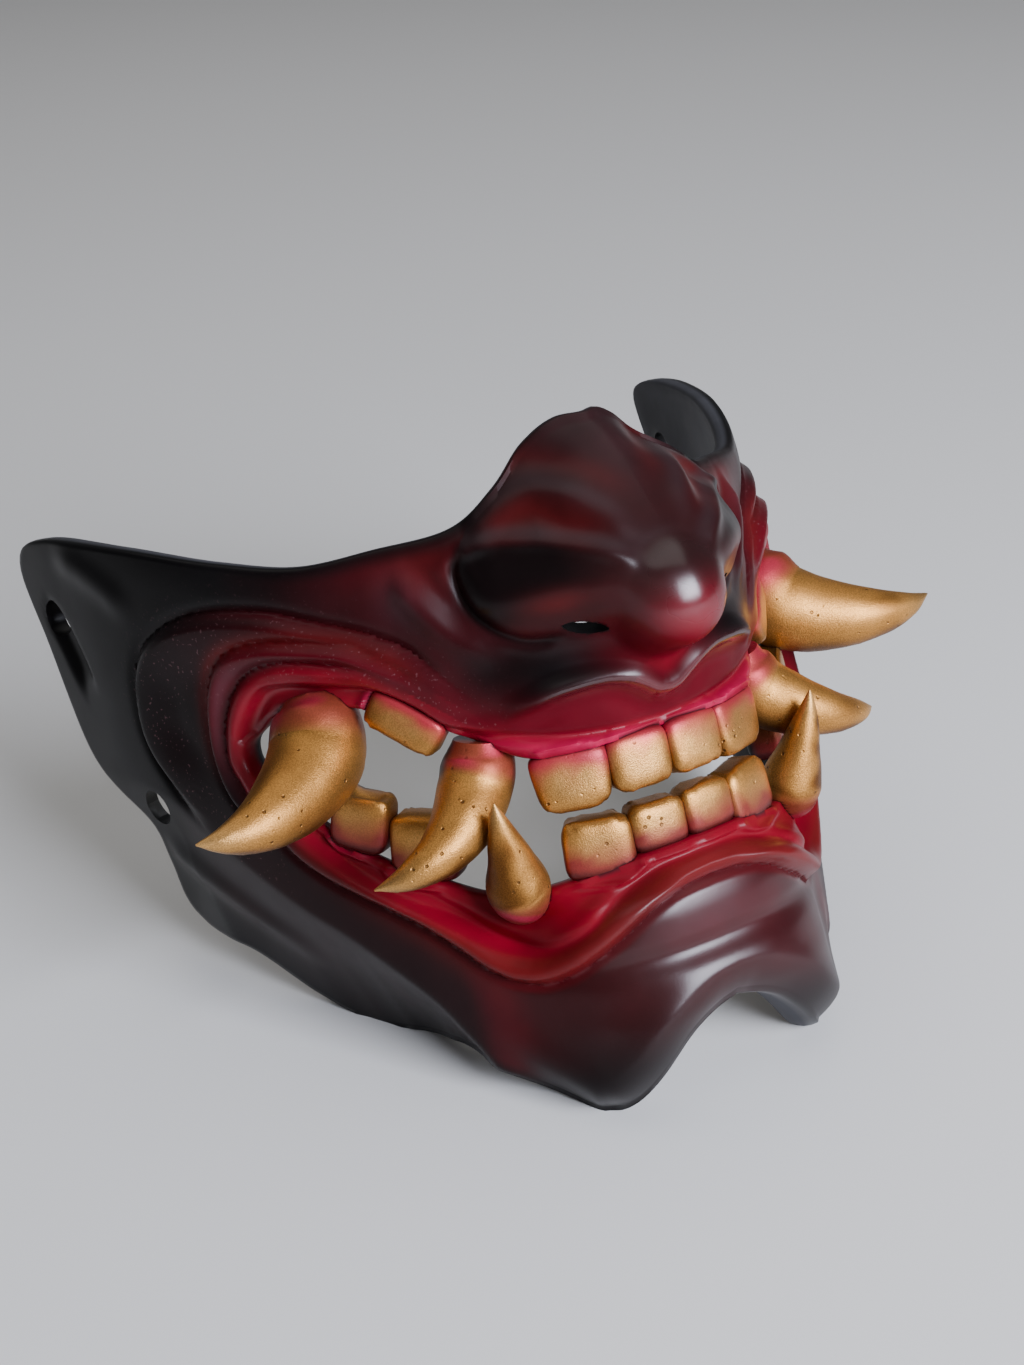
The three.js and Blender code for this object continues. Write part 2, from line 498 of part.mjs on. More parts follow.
// A tusk swept along its centre line, pointed at the tip.
function tusk(points, side) {
  const line = through(points, 2).map(([x, d, h, radius]) => ({
    centre: new THREE.Vector3(...stand(side * x, d, h)), radius: Math.max(radius, 0.25)
  }));
  const rings = line.map(({ centre, radius }, k) => {
    const before = line[Math.max(k - 1, 0)].centre;
    const after = line[Math.min(k + 1, line.length - 1)].centre;
    const along = after.clone().sub(before).normalize();
    const across = new THREE.Vector3(0, 0, 1).cross(along).normalize();
    const up = along.clone().cross(across);
    return Array.from({ length: TUSK_SIDES }, (_, j) => {
      const angle = (2 * Math.PI * j) / TUSK_SIDES;
      return centre.clone().addScaledVector(across, radius * Math.cos(angle))
        .addScaledVector(up, radius * Math.sin(angle)).toArray();
    });
  });
  return gridSolid(rings, false);
}

// A tooth: a squared ellipsoid bent round the plan curve, its poles at the front and the back.
function tooth({ a, h, width, height, tilt, out, depth }, side) {
  const squared = (value) => Math.sign(value) * Math.abs(value) ** TOOTH_SQUARENESS;
  const [around, across] = [8, 5];
  const rings = [];
  for (let k = 0; k < across; k += 1) {
    const angle = Math.PI * ((k + 0.5) / across - 0.5);
    const ring = [];
    for (let j = 0; j < around; j += 1) {
      const turn = (2 * Math.PI * (j + 0.5)) / around;
      const x = (width / 2) * squared(Math.cos(angle)) * squared(Math.cos(turn));
      const y = (height / 2) * squared(Math.cos(angle)) * squared(Math.sin(turn));
      const z = (depth / 2) * squared(Math.sin(angle));
      const place = a + x * Math.cos(tilt) - y * Math.sin(tilt);
      ring.push(surface(Math.abs(place), h + x * Math.sin(tilt) + y * Math.cos(tilt), out + z,
        place < 0 ? -side : side));
    }
    rings.push(ring);
  }
  return gridSolid(rings, false);
}

// A bar through the shell at (a, h), along the normal. Its oval section is drawn out to a lens by point,
// and it climbs by rise on its way in.
function piercing({ a, h, width, height, tilt, point, rise }, side) {
  const [near, far] = [-40, 40];
  const lens = (value) => Math.sign(value) * Math.abs(value) ** point;
  const rings = [near, far].map((out) => Array.from({ length: 20 }, (_, j) => {
    const angle = (2 * Math.PI * j) / 20;
    const [x, y] = [(width / 2) * Math.cos(angle), (height / 2) * lens(Math.sin(angle))];
    const p = plan(a);
    const across = x * Math.cos(tilt) - y * Math.sin(tilt);
    const [px, pd] = [p.x - p.nd * across + out * p.nx, p.d + p.nx * across + out * p.nd];
    const lift = rise * (NOSTRIL_OUT - out);
    return stand(side * px, pd, h + x * Math.sin(tilt) + y * Math.cos(tilt) + lift);
  }));
  return gridSolid(rings, false);
}

function mask() {
  const sides = [1, -1];
  const added = sides.flatMap((side) => [
    ...Object.values(TUSKS).map((points) => tusk(points, side)),
    ...TEETH.map((values) => tooth(values, side))]);
  let solid = added.reduce((sum, piece) => sum.add(piece), shell());
  for (const side of sides) {
    for (const [a, h] of STRAP_HOLES) {
      const round = { width: STRAP_HOLE, height: STRAP_HOLE, tilt: 0, point: 1, rise: 0 };
      solid = solid.subtract(piercing({ a, h, ...round }, side));
    }
    solid = solid.subtract(piercing(NOSTRIL, side));
  }
  const table = new THREE.BoxGeometry(CUTTER, CUTTER, CUTTER).translate(0, 0, -CUTTER / 2);
  return toGeometry(solid.subtract(toSolid(table)));
}

const geometry = mask();
geometry.computeBoundingBox();
const middle = geometry.boundingBox.getCenter(new THREE.Vector3());
geometry.translate(0, -middle.y, 0);

const resin = new THREE.MeshStandardMaterial({ color: 0x3a1214, roughness: 0.45, metalness: 0 });
const model = new THREE.Group();
const body = new THREE.Mesh(geometry, resin);
body.name = 'mask';
model.add(body);

export default model;
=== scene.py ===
"""Snarling demon half mask, a painted resin casting: the look of the finished piece.

Units in the working functions are millimetres. +Z is up, -Y is the front and +X is the wearer's left.
The mask stands on the lobes of its chin and the edges of its jaw, leaning back, on the plane z = 0.

The shell is a chart wrapped round a plan curve. A place on it is (a, h): a is the arc length from the
middle along the curve, and h the height along the face, in the frame of the leaning face. The relief
is the distance that a place stands out along the curve's normal. The paint is worked out from the same
distances, so that each colour follows the fold or the gum that it belongs to.
"""

import math

import bpy
import numpy as np
from mathutils import Matrix


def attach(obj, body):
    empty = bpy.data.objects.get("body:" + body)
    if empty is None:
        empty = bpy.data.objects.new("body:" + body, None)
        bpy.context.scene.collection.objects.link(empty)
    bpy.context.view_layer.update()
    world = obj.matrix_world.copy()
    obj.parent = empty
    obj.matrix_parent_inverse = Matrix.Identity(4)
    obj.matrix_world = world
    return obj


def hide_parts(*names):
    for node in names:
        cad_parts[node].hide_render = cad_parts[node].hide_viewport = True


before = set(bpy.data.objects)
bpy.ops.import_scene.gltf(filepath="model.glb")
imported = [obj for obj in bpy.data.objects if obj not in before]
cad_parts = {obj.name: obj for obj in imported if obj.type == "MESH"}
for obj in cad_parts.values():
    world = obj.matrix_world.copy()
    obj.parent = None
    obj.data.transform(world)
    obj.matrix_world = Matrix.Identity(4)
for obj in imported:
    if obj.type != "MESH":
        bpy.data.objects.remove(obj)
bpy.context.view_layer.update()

# Frame of the leaning face: how far it leans, and where the middle of the part's box is in its own y
MM = 0.001
LEAN = math.radians(22)
CENTRE_Y = 53.7274

# Camera of the photograph, worked out from pairs of mirrored points
CAMERA_AT = (-197.4, -290.8, 276.9)
CAMERA_TURN = math.radians(-29.28)
CAMERA_DIP = math.radians(28.36)
CAMERA_ROLL = math.radians(3.36)
CAMERA_LENS = 51.5
CAMERA_SENSOR = 36
CAMERA_NEAR = 0.01

# Detail of the meshes: steps round the ring, across its front, back and rounded edges, and along curves.
# FACE_CROWDING above 1 puts the rows of the front closer together towards the mouth
RING_STEPS = 330
FACE_STEPS = 86
FACE_CROWDING = 1.15
BACK_STEPS = 14
ROUND_STEPS = 5
CURVE_STEPS = 24
MARK_STEPS = 5
TUSK_STEPS = 7
TUSK_SIDES = 36
TOOTH_AROUND = 44
TOOTH_ACROSS = 18
BORE_SIDES = 40
SHARP_CORNER = math.radians(55)

# Shares of the run of the mouth's edge and of the nose in the spread of the ring's stations. The outer
# edge has the rest, and the nose ends at the arc length NOSE_HALF
MOUTH_SHARE = 0.4
NOSE_SHARE = 0.2
NOSE_HALF = 33

# Walls, the distances over which they change to the thicker wall at an edge, and the rounding of edges.
# THINNEST is the share of the wall that is left behind the deepest crease
WALL = 4.6
RIM_WALL_RUN = 14
MOUTH_WALL = 5.4
MOUTH_WALL_RUN = 9
THINNEST = 0.6
EDGE_ROUND = 1.8
EDGE_FULLNESS = 0.6

# Nose: reach and step of the grid that its sections are softened on, how fully the curves between them
# take the sections' slope, how often they are softened, and where they give way to the plain cheek
NOSE_REACH = 60
NOSE_STEP = 0.5
SECTION_PULL = 0.9
NOSE_SOFTENING = 24
NOSE_FADE = (52, 42)

# Ball of the nose: the softening step at which it is blended in, its centre and radius, how much it is
# narrowed sideways, how far round it the blend reaches, and the blend's width at two heights
BALL_STEP = 18
BALL_FORWARD = 13.9
BALL_HEIGHT = 98
BALL_RADIUS = 11.3
BALL_NARROWING = 1.3
BALL_MARGIN = 60
BALL_BLEND = ((92, 104), (2, 5))
FAR_BEHIND = -50.0

# Hollow side: reach of its softening, the furthest it stands out away from the nose, and the nose's hollow
HOLLOW_REACH = 5
HOLLOW_LIMIT = 2.5
NOSE_HOLLOW = 13
NOSE_HOLLOW_AT = (0, 106)
NOSE_HOLLOW_SPREAD = (19, 15)

# Jaw that eases into its slope, rolled top edge, and the half width and upper end of the full chin
JAW_EASING = 2
TOP_ROLL_RUN = 8
TOP_ROLL_PAST = 1.3
CHIN_HALF = 33
CHIN_TOP = (50, 44)

# Plan curve of the face, half of it: x to the side, d to the back
PLAN = [(0, -30), (12, -28.6), (25, -23), (38, -12.8), (50, -0.5), (60, 11), (68, 23), (75, 36),
        (80.5, 49), (84.5, 62), (87.5, 76), (90, 90), (91.3, 99)]

# Stations round the ring: mouth a and h, outer edge a and h, wall at the outer edge
STATIONS = [
    (0, 70, 0, 136.8, 4.6), (6, 70, 6, 136.8, 4.6), (13, 70, 14.5, 133.2, 4.6), (22, 70, 24, 126, 4.6),
    (31, 71.5, 35, 120.3, 4.6), (45, 79.5, 52, 119.6, 4.6), (55, 84.5, 70, 119.6, 4.6),
    (66, 88.5, 90, 124, 4.6), (75, 90.5, 118, 131.2, 4.6), (83, 89.5, 149, 136.5, 4.6),
    (88.5, 87, 164.5, 133, 4.6), (91.8, 84.5, 160.5, 112, 4.6), (92.6, 81.5, 155, 88, 4.6),
    (91.8, 78.5, 147, 77, 4.6), (90, 75, 138, 67, 4.6), (87.5, 71.5, 139, 57, 4.6),
    (84.5, 68, 141.5, 46, 4.6), (80.5, 65, 137, 39.8, 4.6), (75, 60.5, 120, 33, 4.8),
    (69, 56, 106, 21, 5), (62, 52, 94, 12.6, 5), (55, 48.5, 79, 10.6, 5.4), (47, 44.8, 66, 9.4, 7),
    (40, 43, 53, 5.2, 10), (30, 44, 34.5, -7, 11), (20, 45.4, 24.5, -5.8, 10), (10, 46.4, 10, 7.2, 7.5),
    (0, 46.6, 0, 11.5, 7)]

# Nose and upper lip: sections at heights h, each a list of (a, out)
SECTIONS = [
    (70, [(0, 0), (40, 0)]),
    (74, [(0, 1.2), (20, 1), (30, 0.6), (40, 0.3)]),
    (78, [(0, 4.2), (8, 3), (20, 2.4), (30, 1.2), (40, 0.5)]),
    (83.5, [(0, 7), (6, 6.6), (12, 5.3), (20, 4.8), (28, 3.2), (36, 1)]),
    (87, [(0, 8), (6, 7.3), (12, 5.2), (20, 4.2), (30, 2.4), (38, 1)]),
    (91, [(0, 10.5), (6, 8.8), (10, 6), (14, 4.5), (22, 3.5), (30, 2), (38, 1.2)]),
    (94, [(0, 15), (6, 13), (10, 8.5), (14, 6), (19, 4.4), (23, 3), (28, 1.5), (36, 1.5)]),
    (97, [(0, 19), (7, 16.5), (11, 12.5), (15, 9.6), (20, 7.4), (24, 5.4), (27, 3.4), (30, 0.6),
          (36, 1.5)]),
    (100, [(0, 21), (7, 19), (12.1, 14), (15.9, 11), (20.7, 8.2), (25, 6.2), (29, 4.2), (32, 1.4),
           (33.5, 0.3), (40, 1.5)]),
    (104, [(0, 20.8), (7, 19.8), (12, 17), (15.7, 14.4), (20.2, 11.5), (26.3, 8.1), (30, 6), (33, 3),
           (34.9, 0.2), (40, 1.5)]),
    (108, [(0, 19.3), (6, 18.7), (10, 17.3), (14.2, 15), (18.5, 11.6), (24, 7.9), (29, 5.6), (33, 2.6),
           (35.2, 0.2), (40, 1.5)]),
    (112, [(0, 17.6), (7, 16.9), (12.4, 14.2), (16.4, 11.4), (21.3, 7.9), (27, 5), (32, 2.2), (35, 0.2),
           (40, 1)]),
    (116, [(0, 15.6), (7, 14.6), (11.1, 11.6), (14.9, 8.8), (19.5, 6), (25.3, 3.6), (31, 1.2), (38, 0.5)]),
    (121, [(0, 12.4), (5.5, 11.6), (9, 9.8), (12, 7.6), (16.2, 4), (21.7, 1), (28, -0.6), (34, -0.3),
           (45, 0.3)]),
    (124, [(0, 10.3), (5, 9.6), (7.5, 8.6), (10.3, 6.6), (14.1, 3.2), (19, -0.6), (24, -2.4), (30, -3),
           (45, -1)]),
    (126, [(0, 8.4), (4.5, 7), (7.3, 4.9), (10.3, 1.9), (14.4, -1.2), (20, -3.9), (28, -5), (45, -1.5)]),
    (130, [(0, 5), (4, 3.3), (7, 0.3), (10, -2.7), (14, -5.1), (18, -6.5), (24, -7), (45, -3)]),
    (133, [(0, 2.3), (3, 1), (6, -1.6), (10, -4.5), (15, -7), (20, -8.2), (45, -3)]),
    (137, [(0, -3.4), (5, -5.6), (10, -7.6), (20, -9.6), (45, -3)])]

# Chin's stand-off by height, lines of places (a, h) along the chin's edge, the jaw and the top edge, and
# the jaw's slope and the top edge's roll by arc length
CHIN = [(-5, 9), (12, 8.6), (17, 7.8), (21, 7.2), (25.5, 5.8), (29, 6.5), (32.5, 6.6), (36, 6.3),
        (38.5, 5.1), (40.5, 2.8), (42, 1.5), (48, 0)]
CHIN_EDGE = [(0, 11.5), (4, 10.9), (10, 7.2), (17, -0.2), (24.5, -5.8), (30, -7.2), (34.5, -7),
             (43, -1.5), (53, 5.2), (66, 9.4), (79, 10.6)]
JAW_LINE = [(40, -4), (49, 3), (56.5, 14.5), (63.5, 25), (77, 38.5), (90.5, 48.5), (106.5, 62),
            (116, 71), (128, 77), (145, 80), (178, 82)]
JAW_SLOPE = [(48, 0), (56, 2.2), (60, 1.8), (66, 1.3), (72, 1.1), (80, 0.85), (90, 0.68),
             (100, 0.55), (125, 0.3), (150, 0.22)]
TOP_LINE = [(0, 136.8), (5, 136.8), (11.2, 135), (18.1, 130.5), (23.8, 126.1), (28.4, 122.5), (34.5, 120.4),
            (42, 119.7), (52, 119.6), (70, 119.6), (90, 124), (118, 131.2), (149, 136.5), (165, 134),
            (178, 134)]
TOP_ROLL = [(0, 0.6), (15, 1), (24, 2), (32, 3.5), (45, 3), (60, 1.2), (70, 0.5)]

# Creases and ridges, each a line of places (a, h)
OUTER_FOLD = [(36, 83), (42, 90), (46, 95), (50, 98.8), (59, 103.8), (68, 107.5), (77, 111), (86, 113),
              (95.5, 114), (104.5, 113.5), (112, 111.5), (118, 108), (122, 102.5), (124, 96),
              (124.5, 90), (123, 84), (119.5, 78), (115.5, 71), (109, 63.5)]
MIDDLE_FOLD = [(45, 89), (51.5, 95), (59, 100.5), (63.5, 102.5), (72.5, 104.5), (81.5, 105.7),
               (90.5, 105), (96, 102), (99.5, 97), (101.5, 91), (102.5, 85), (102.5, 79), (101, 73),
               (97, 66.5), (91, 60)]
LIP_FOLD = [(51, 90), (59, 96.3), (68, 99.2), (77, 101), (84, 100.5), (90, 98), (94.5, 93), (97, 87),
            (97.8, 81), (96, 75), (93, 67.5), (88, 59.5), (81.5, 53.5), (74, 48.4), (67, 43.9),
            (60.4, 39.2), (54.9, 34.4), (49.9, 29.4), (46.5, 26.8), (43.4, 25.1), (37.6, 24),
            (30.6, 25.4), (23.7, 29), (17.6, 33), (12.4, 36), (6, 38.2), (0, 38.7)]
GUM_LINE = [(0, 72), (15, 73.2), (25, 74.8), (33, 76.8), (40, 79.4), (45, 81.5), (51.5, 87), (59, 92),
            (68, 94.5), (77, 96), (83.5, 96), (88, 93), (92, 88), (93.5, 83), (93, 78.5), (90.5, 72.5),
            (86, 65.5), (80.5, 59.5), (72.5, 52.5), (64.5, 46.5), (54.5, 40.3), (49.5, 36.5),
            (45, 33.5), (40, 31.5), (35, 31), (30, 32.5), (25, 35), (20, 38.8), (10, 43), (0, 43.8)]
LIP_LEDGE = [(0, 77.3), (3, 78), (6, 80.3), (9, 82.3), (13, 83.3), (20, 83), (26, 81.5), (33, 79)]
NOSE_RIDGE = [(31, 118), (28.4, 119.8), (24.7, 122.3), (20.4, 124), (17, 124.6), (14.4, 124),
              (11.8, 122.4), (9.6, 119.6), (7.7, 116.6), (6.4, 113.2), (5.6, 110)]
WING_RIDGE = [(33.5, 114.4), (30.6, 115.8), (28.3, 116.1), (23.8, 115.8), (17.9, 114.6), (13, 112.6),
              (10.2, 110.7), (7.9, 108.2), (6.7, 105.7), (6, 102.8)]
WING_CREASE = [(33, 116), (35.3, 112), (35, 107), (32.9, 102.2), (28.9, 98), (24, 95.3), (19, 94.6),
               (16, 95.3)]
CHEEK_RIDGE = [(50, 113), (46, 110), (42.5, 105), (38, 99.5), (33, 95.5), (27, 92.5)]
EAR_RIDGE = [(146.5, 132), (136, 129.5), (124.5, 122.5), (115.5, 115)]
JAW_RIDGE = [(136, 63), (121, 52.5), (110, 44), (101, 37), (92, 28)]
STRAP_TROUGH = [(156.5, 121), (150.5, 116), (146.5, 107), (143, 98)]

# Every line that the relief and the paint follow, by name
MARKS = dict(
    outer=OUTER_FOLD, middle=MIDDLE_FOLD, lip=LIP_FOLD, gum=GUM_LINE, ledge=LIP_LEDGE, chin=CHIN_EDGE,
    nose=NOSE_RIDGE, wing=WING_RIDGE, crease=WING_CREASE, cheek=CHEEK_RIDGE, ear=EAR_RIDGE,
    jaw=JAW_RIDGE, trough=STRAP_TROUGH)

# Cheek folds: share of the line where each is at full height and where it starts to fade, then its
# profile as fold() takes it
FOLDS = dict(
    outer=(0.18, 0.86, (2.3, 3.2, (0.92, 2.5, 15), 1, 1.6)),
    middle=(0.2, 0.85, (2.4, 2.4, (0.9, 2, 8), 0.7, 1.2)))
CREST_START = -0.2

# Fold of the lip: crest height by share of its run, the rest of its profile as fold() takes it, the share
# where it is at full height, and the distances between which it gives way to the gums
LIP_HEIGHTS = ((0, 0.3, 0.45, 0.6, 1), (1.8, 2.2, 2.6, 3.4, 3.4))
LIP_PROFILE = (2.6, (0.75, 3.2, 7.5), 0.7, 1.2)
LIP_RISE = 0.12
LIP_REACH = (30, 15)

# Ridges and creases: the same two shares, then bells of height, distance from the line and width
RIDGES = dict(
    nose=(0.12, 0.75, [(1.2, 0, 2.6), (-0.9, 4.8, 3.2), (-0.5, -5.4, 3.2)]),
    wing=(0.08, 0.75, [(1.5, 0, 1.8), (-0.5, 4, 3)]),
    crease=(0.12, 0.85, [(0.25, 2, 1.5), (-1.2, -0.2, 1.1)]),
    cheek=(0.2, 0.7, [(1.6, 0, 3.2), (-0.8, -5, 2.5)]),
    ear=(0.3, 0.7, [(1, 0, 3.5)]),
    jaw=(0.15, 0.6, [(1.2, 0, 3.5)]))

# Gums: a step down from the lip, shallow in front and deeper at the side, which starts between two arc
# lengths, a swelling at the side, a roll in front, and a low roll round the root of each tooth. A name in
# BELL is the distance of a bell curve's middle from the line, and its width
GUM_SIDE = (27, 44)
GUM_STEP_FRONT = 0.1
GUM_STEP_SIDE = 3.1
GUM_STEP_RUN = (-0.9, 1.3)
GUM_SWELLING = 1.5
GUM_SWELLING_BELL = (4.5, 2.6)
GUM_ROLL = 0.9
GUM_ROLL_BELL = (2, 1.6)
GUM_CREASE_BELL = (-0.2, 0.9)
ROOT_ROLL = 0.9
ROOT_ROLL_BELL = (1.13, 0.09)
ROOT_ROLL_FROM = (0, 2)

# Ledge of the upper lip: its step, the share of it that is lost above, and the groove below
LEDGE_HEIGHT = 2.3
LEDGE_RUN = (-1.1, 1.2)
LEDGE_LOST = 0.85
LEDGE_LOST_RUN = (1.3, 5.5)
LEDGE_GROOVE = 0.9
LEDGE_GROOVE_BELL = (-3, 2.4)
LEDGE_END = (1, 0.7)

# Trough at the upper strap hole
TROUGH_DEPTH = 2
TROUGH_HALF = 3.6
TROUGH_SHARES = (0.25, 0.6)

# Chin's rolled lower edge: a bead, a drop that is deepest at the lobes, and where both end
CHIN_ROLL = 0.7
CHIN_ROLL_BELL = (8.5, 4.2)
CHIN_DROP = 6
CHIN_LOBE_DROP = 3
CHIN_LOBE_BELL = (31, 9)
CHIN_EDGE_RUN = 9
CHIN_EDGE_PAST = 1.2
CHIN_EDGE_SIDE = (54, 40)
CHIN_EDGE_TOP = (34, 26)

# Strap holes: width, place (a, h) with how far the bore runs back for each millimetre it goes in, and half
# the length of the bar that cuts each hole
STRAP_HOLE = 8.8
STRAP_HOLES = [(152, 118, 0), (129, 71.5, 0.6)]
BORE_REACH = 40

# Nostril: place (a, h), width, height, tilt, how pointed it is, rise, slant, and stand-off of its mouth
NOSTRIL = (13.6, 95.9, 9.2, 3.6, 0.27, 1.6, 0.38, 0, 9)

# Tusks and fangs, right half: centre line (x, d, h, radius)
TUSKS = dict(
    outer=[(56.5, 14, 91, 6.5), (57.5, 12.5, 87, 9.6), (60.5, 10, 80, 10.3), (68.5, 4.6, 75.2, 8.8),
           (79, -1.2, 72.6, 6), (87.5, -3.2, 72.2, 3.2), (94.2, -3.2, 73.1, 0.2)],
    inner=[(32.5, -11, 76.5, 5.5), (33.5, -10.5, 72, 7.6), (36.5, -11, 66.5, 7.8), (42.5, -14.5, 61.5, 6.8),
           (50, -16.6, 57.6, 5), (57.8, -16, 55.3, 2.8), (64.1, -13, 54.4, 0.2)],
    fang=[(34.4, -14.5, 39.5, 3.5), (34.8, -16.5, 42.5, 6), (35.4, -18, 46.5, 6.7), (36.7, -20.6, 52, 5),
          (38.2, -23, 57.6, 3.4), (39.2, -24.8, 62.2, 1.8), (39.8, -26, 66, 0.2)])

# Teeth, right half. root is +1 where the root is above, -1 where it is below.
TEETH = [
    dict(a=6.9, h=65.3, width=14.4, height=12.4, tilt=0.0, out=-3.2, depth=9.4, root=1, taper=0.03),
    dict(a=21.8, h=65.0, width=16.6, height=13.2, tilt=0.02, out=-3.2, depth=9.4, root=1, taper=0.09),
    dict(a=6.3, h=50.8, width=13.2, height=10.6, tilt=0.03, out=-2.8, depth=8.6, root=-1, taper=0.0),
    dict(a=19.8, h=49.6, width=15.4, height=13.0, tilt=0.08, out=-2.8, depth=9.0, root=-1, taper=0.02),
    dict(a=54.0, h=83.4, width=17.5, height=8.8, tilt=0.68, out=-3.0, depth=8.0, root=1, taper=0.0),
    dict(a=57.5, h=56.0, width=16.0, height=14.5, tilt=0.2, out=-5.5, depth=9.0, root=-1, taper=0.0),
    dict(a=70.5, h=64.0, width=13.5, height=13.5, tilt=0.38, out=-4.5, depth=9.0, root=-1, taper=0.0,
         cup=4.5)]

# Powers that square a tooth's form and its outline on the gum, and the share of its width that a worn cup
# takes. Tusks: length of the paint's pattern, least radius, waviness that teeth share, and casting seam
TOOTH_SQUARENESS = 0.42
TOOTH_OUTLINE = 3.2
TOOTH_CUP = 0.62
TUSK_LENGTH = 60
TUSK_TIP = 0.15
HAND_WAVINESS = 0.012
SEAM_HEIGHT = 0.35
SEAM_WIDTH = 0.12

# Roughness made of waves: how many, and their sizes as shares of the size asked for
WAVE_COUNT = 9
WAVE_SIZES = (0.6, 1.7)

# Seeds of the waves: the first, the step from one piece to the next, and what the left side adds
TUSK_SEEDS = (11, 1, 20)
TOOTH_SEEDS = (31, 3, 50)


def ease(x, low, high):
    """Smooth step from 0 at low to 1 at high."""
    t = np.clip((np.asarray(x, float) - low) / (high - low), 0, 1)
    return t * t * (3 - 2 * t)


def bump(x, width):
    """Bell curve exp(-(x / width)^2)."""
    return np.exp(-(np.asarray(x, float) / width) ** 2)


def waves(x, y, seed, size):
    """Repeatable roughness, mostly from -1 to 1: a sum of sine waves of about the given size."""
    rng = np.random.default_rng(seed)
    total = np.zeros(np.broadcast(x, y).shape)
    for _ in range(WAVE_COUNT):
        turn = rng.uniform(0, 2 * math.pi)
        pitch = 2 * math.pi / (size * rng.uniform(*WAVE_SIZES))
        phase = rng.uniform(0, 2 * math.pi)
        total = total + np.sin(pitch * (x * math.cos(turn) + y * math.sin(turn)) + phase)
    return total / (WAVE_COUNT / 2)


def through(points, steps):
    """Catmull-Rom curve through the points, which may have any number of values."""
    p = np.asarray(points, float)
    q = np.vstack([2 * p[0] - p[1], p, 2 * p[-1] - p[-2]])
    t = np.linspace(0, 1, steps, endpoint=False)[:, None, None]
    a, b, c, d = q[:-3], q[1:-2], q[2:-1], q[3:]
    square = (2 * a - 5 * b + 4 * c - d) * t ** 2
    cube = (3 * b - a - 3 * c + d) * t ** 3
    curve = 0.5 * (2 * b + (c - a) * t + square + cube)
    return np.vstack([curve.transpose(1, 0, 2).reshape(-1, p.shape[1]), p[-1:]])


def table(x, points, level=False):
    """Smooth curve through (x, y) points that never overshoots them, level at its start if asked."""
    p = np.asarray(points, float)
    across, up = p[:, 0], p[:, 1]
    slopes = np.diff(up) / np.diff(across)
    tangent = np.zeros(len(across))
    tangent[0], tangent[-1] = 0 if level else slopes[0], slopes[-1]
    product = slopes[:-1] * slopes[1:]
    total = slopes[:-1] + slopes[1:]
    safe = np.where(product > 0, total, 1)
    tangent[1:-1] = np.where(product > 0, 2 * product / safe, 0)
    x = np.clip(x, across[0], across[-1])
    i = np.clip(np.searchsorted(across, x, side="right") - 1, 0, len(across) - 2)
    run = across[i + 1] - across[i]
    t = (x - across[i]) / run
    near = up[i] * (1 + 2 * t) * (1 - t) ** 2 + tangent[i] * run * t * (1 - t) ** 2
    return near + up[i + 1] * t * t * (3 - 2 * t) + tangent[i + 1] * run * t * t * (t - 1)


def beside(a, h, points):
    """Distance from a line, positive on the left of its run, and the share of the run passed there."""
    line = through(points, MARK_STEPS)
    step = np.diff(line, axis=0)
    length = np.linalg.norm(step, axis=1)
    step = step / length[:, None]
    run = np.concatenate([[0], np.cumsum(length)])
    nearest = np.full(np.shape(a), 1e9)
    side = np.zeros(np.shape(a))
    share = np.zeros(np.shape(a))
    for i in range(len(step)):
        da, dh = a - line[i, 0], h - line[i, 1]
        along = np.clip(da * step[i, 0] + dh * step[i, 1], 0, length[i])
        gap = (da - along * step[i, 0]) ** 2 + (dh - along * step[i, 1]) ** 2
        closer = gap < nearest - 1e-9
        nearest = np.where(closer, gap, nearest)
        side = np.where(closer, step[i, 0] * dh - step[i, 1] * da, side)
        share = np.where(closer, (run[i] + along) / run[-1], share)
    return np.sqrt(nearest) * np.where(side < 0, -1, 1), share


def span(x, rise, high, fall, low):
    """Smooth step up between the first two values, times a smooth step down between the last two."""
    return ease(x, rise, high) * ease(x, low, fall)


def fade(share, rise, fall):
    """Strength along a line: up from 0 over the share rise, and down to 0 from the share fall to its end."""
    return span(share, 0, rise, fall, 1)


def bell(x, middle, width):
    """Bell curve of the given width round the value middle."""
    return bump(x - middle, width)


def patch(a, h, centre, spread):
    """Soft oval patch, 1 at its centre: a bell curve across times a bell curve up."""
    return bump(a - centre[0], spread[0]) * bump(h - centre[1], spread[1])


def blend(a, b, width):
    """Larger of two values, with the corner between them rounded."""
    t = np.clip(0.5 + 0.5 * (a - b) / width, 0, 1)
    return b + (a - b) * t + width * t * (1 - t)


PLAN_LINE = through([(-PLAN[1][0], PLAN[1][1])] + PLAN, CURVE_STEPS)[CURVE_STEPS:]
PLAN_RUN = np.concatenate([[0], np.cumsum(np.linalg.norm(np.diff(PLAN_LINE, axis=0), axis=1))])
PLAN_STEP = np.gradient(PLAN_LINE, PLAN_RUN, axis=0)
PLAN_STEP[0] = (1, 0)


def plan(a):
    """Place (x, d) and outward normal on the plan curve at arc length a, straight on past its end."""
    reach = np.clip(a, 0, PLAN_RUN[-1])
    past = a - reach
    tx = np.interp(reach, PLAN_RUN, PLAN_STEP[:, 0])
    td = np.interp(reach, PLAN_RUN, PLAN_STEP[:, 1])
    size = np.hypot(tx, td)
    tx, td = tx / size, td / size
    x = np.interp(reach, PLAN_RUN, PLAN_LINE[:, 0]) + past * tx
    d = np.interp(reach, PLAN_RUN, PLAN_LINE[:, 1]) + past * td
    return x, d, td, -tx


def stand(x, d, h):
    """Points of the leaning face's frame in the standing mask's frame."""
    y = d * math.cos(LEAN) + h * math.sin(LEAN) - CENTRE_Y
    return np.stack([x, y, h * math.cos(LEAN) - d * math.sin(LEAN)], -1)


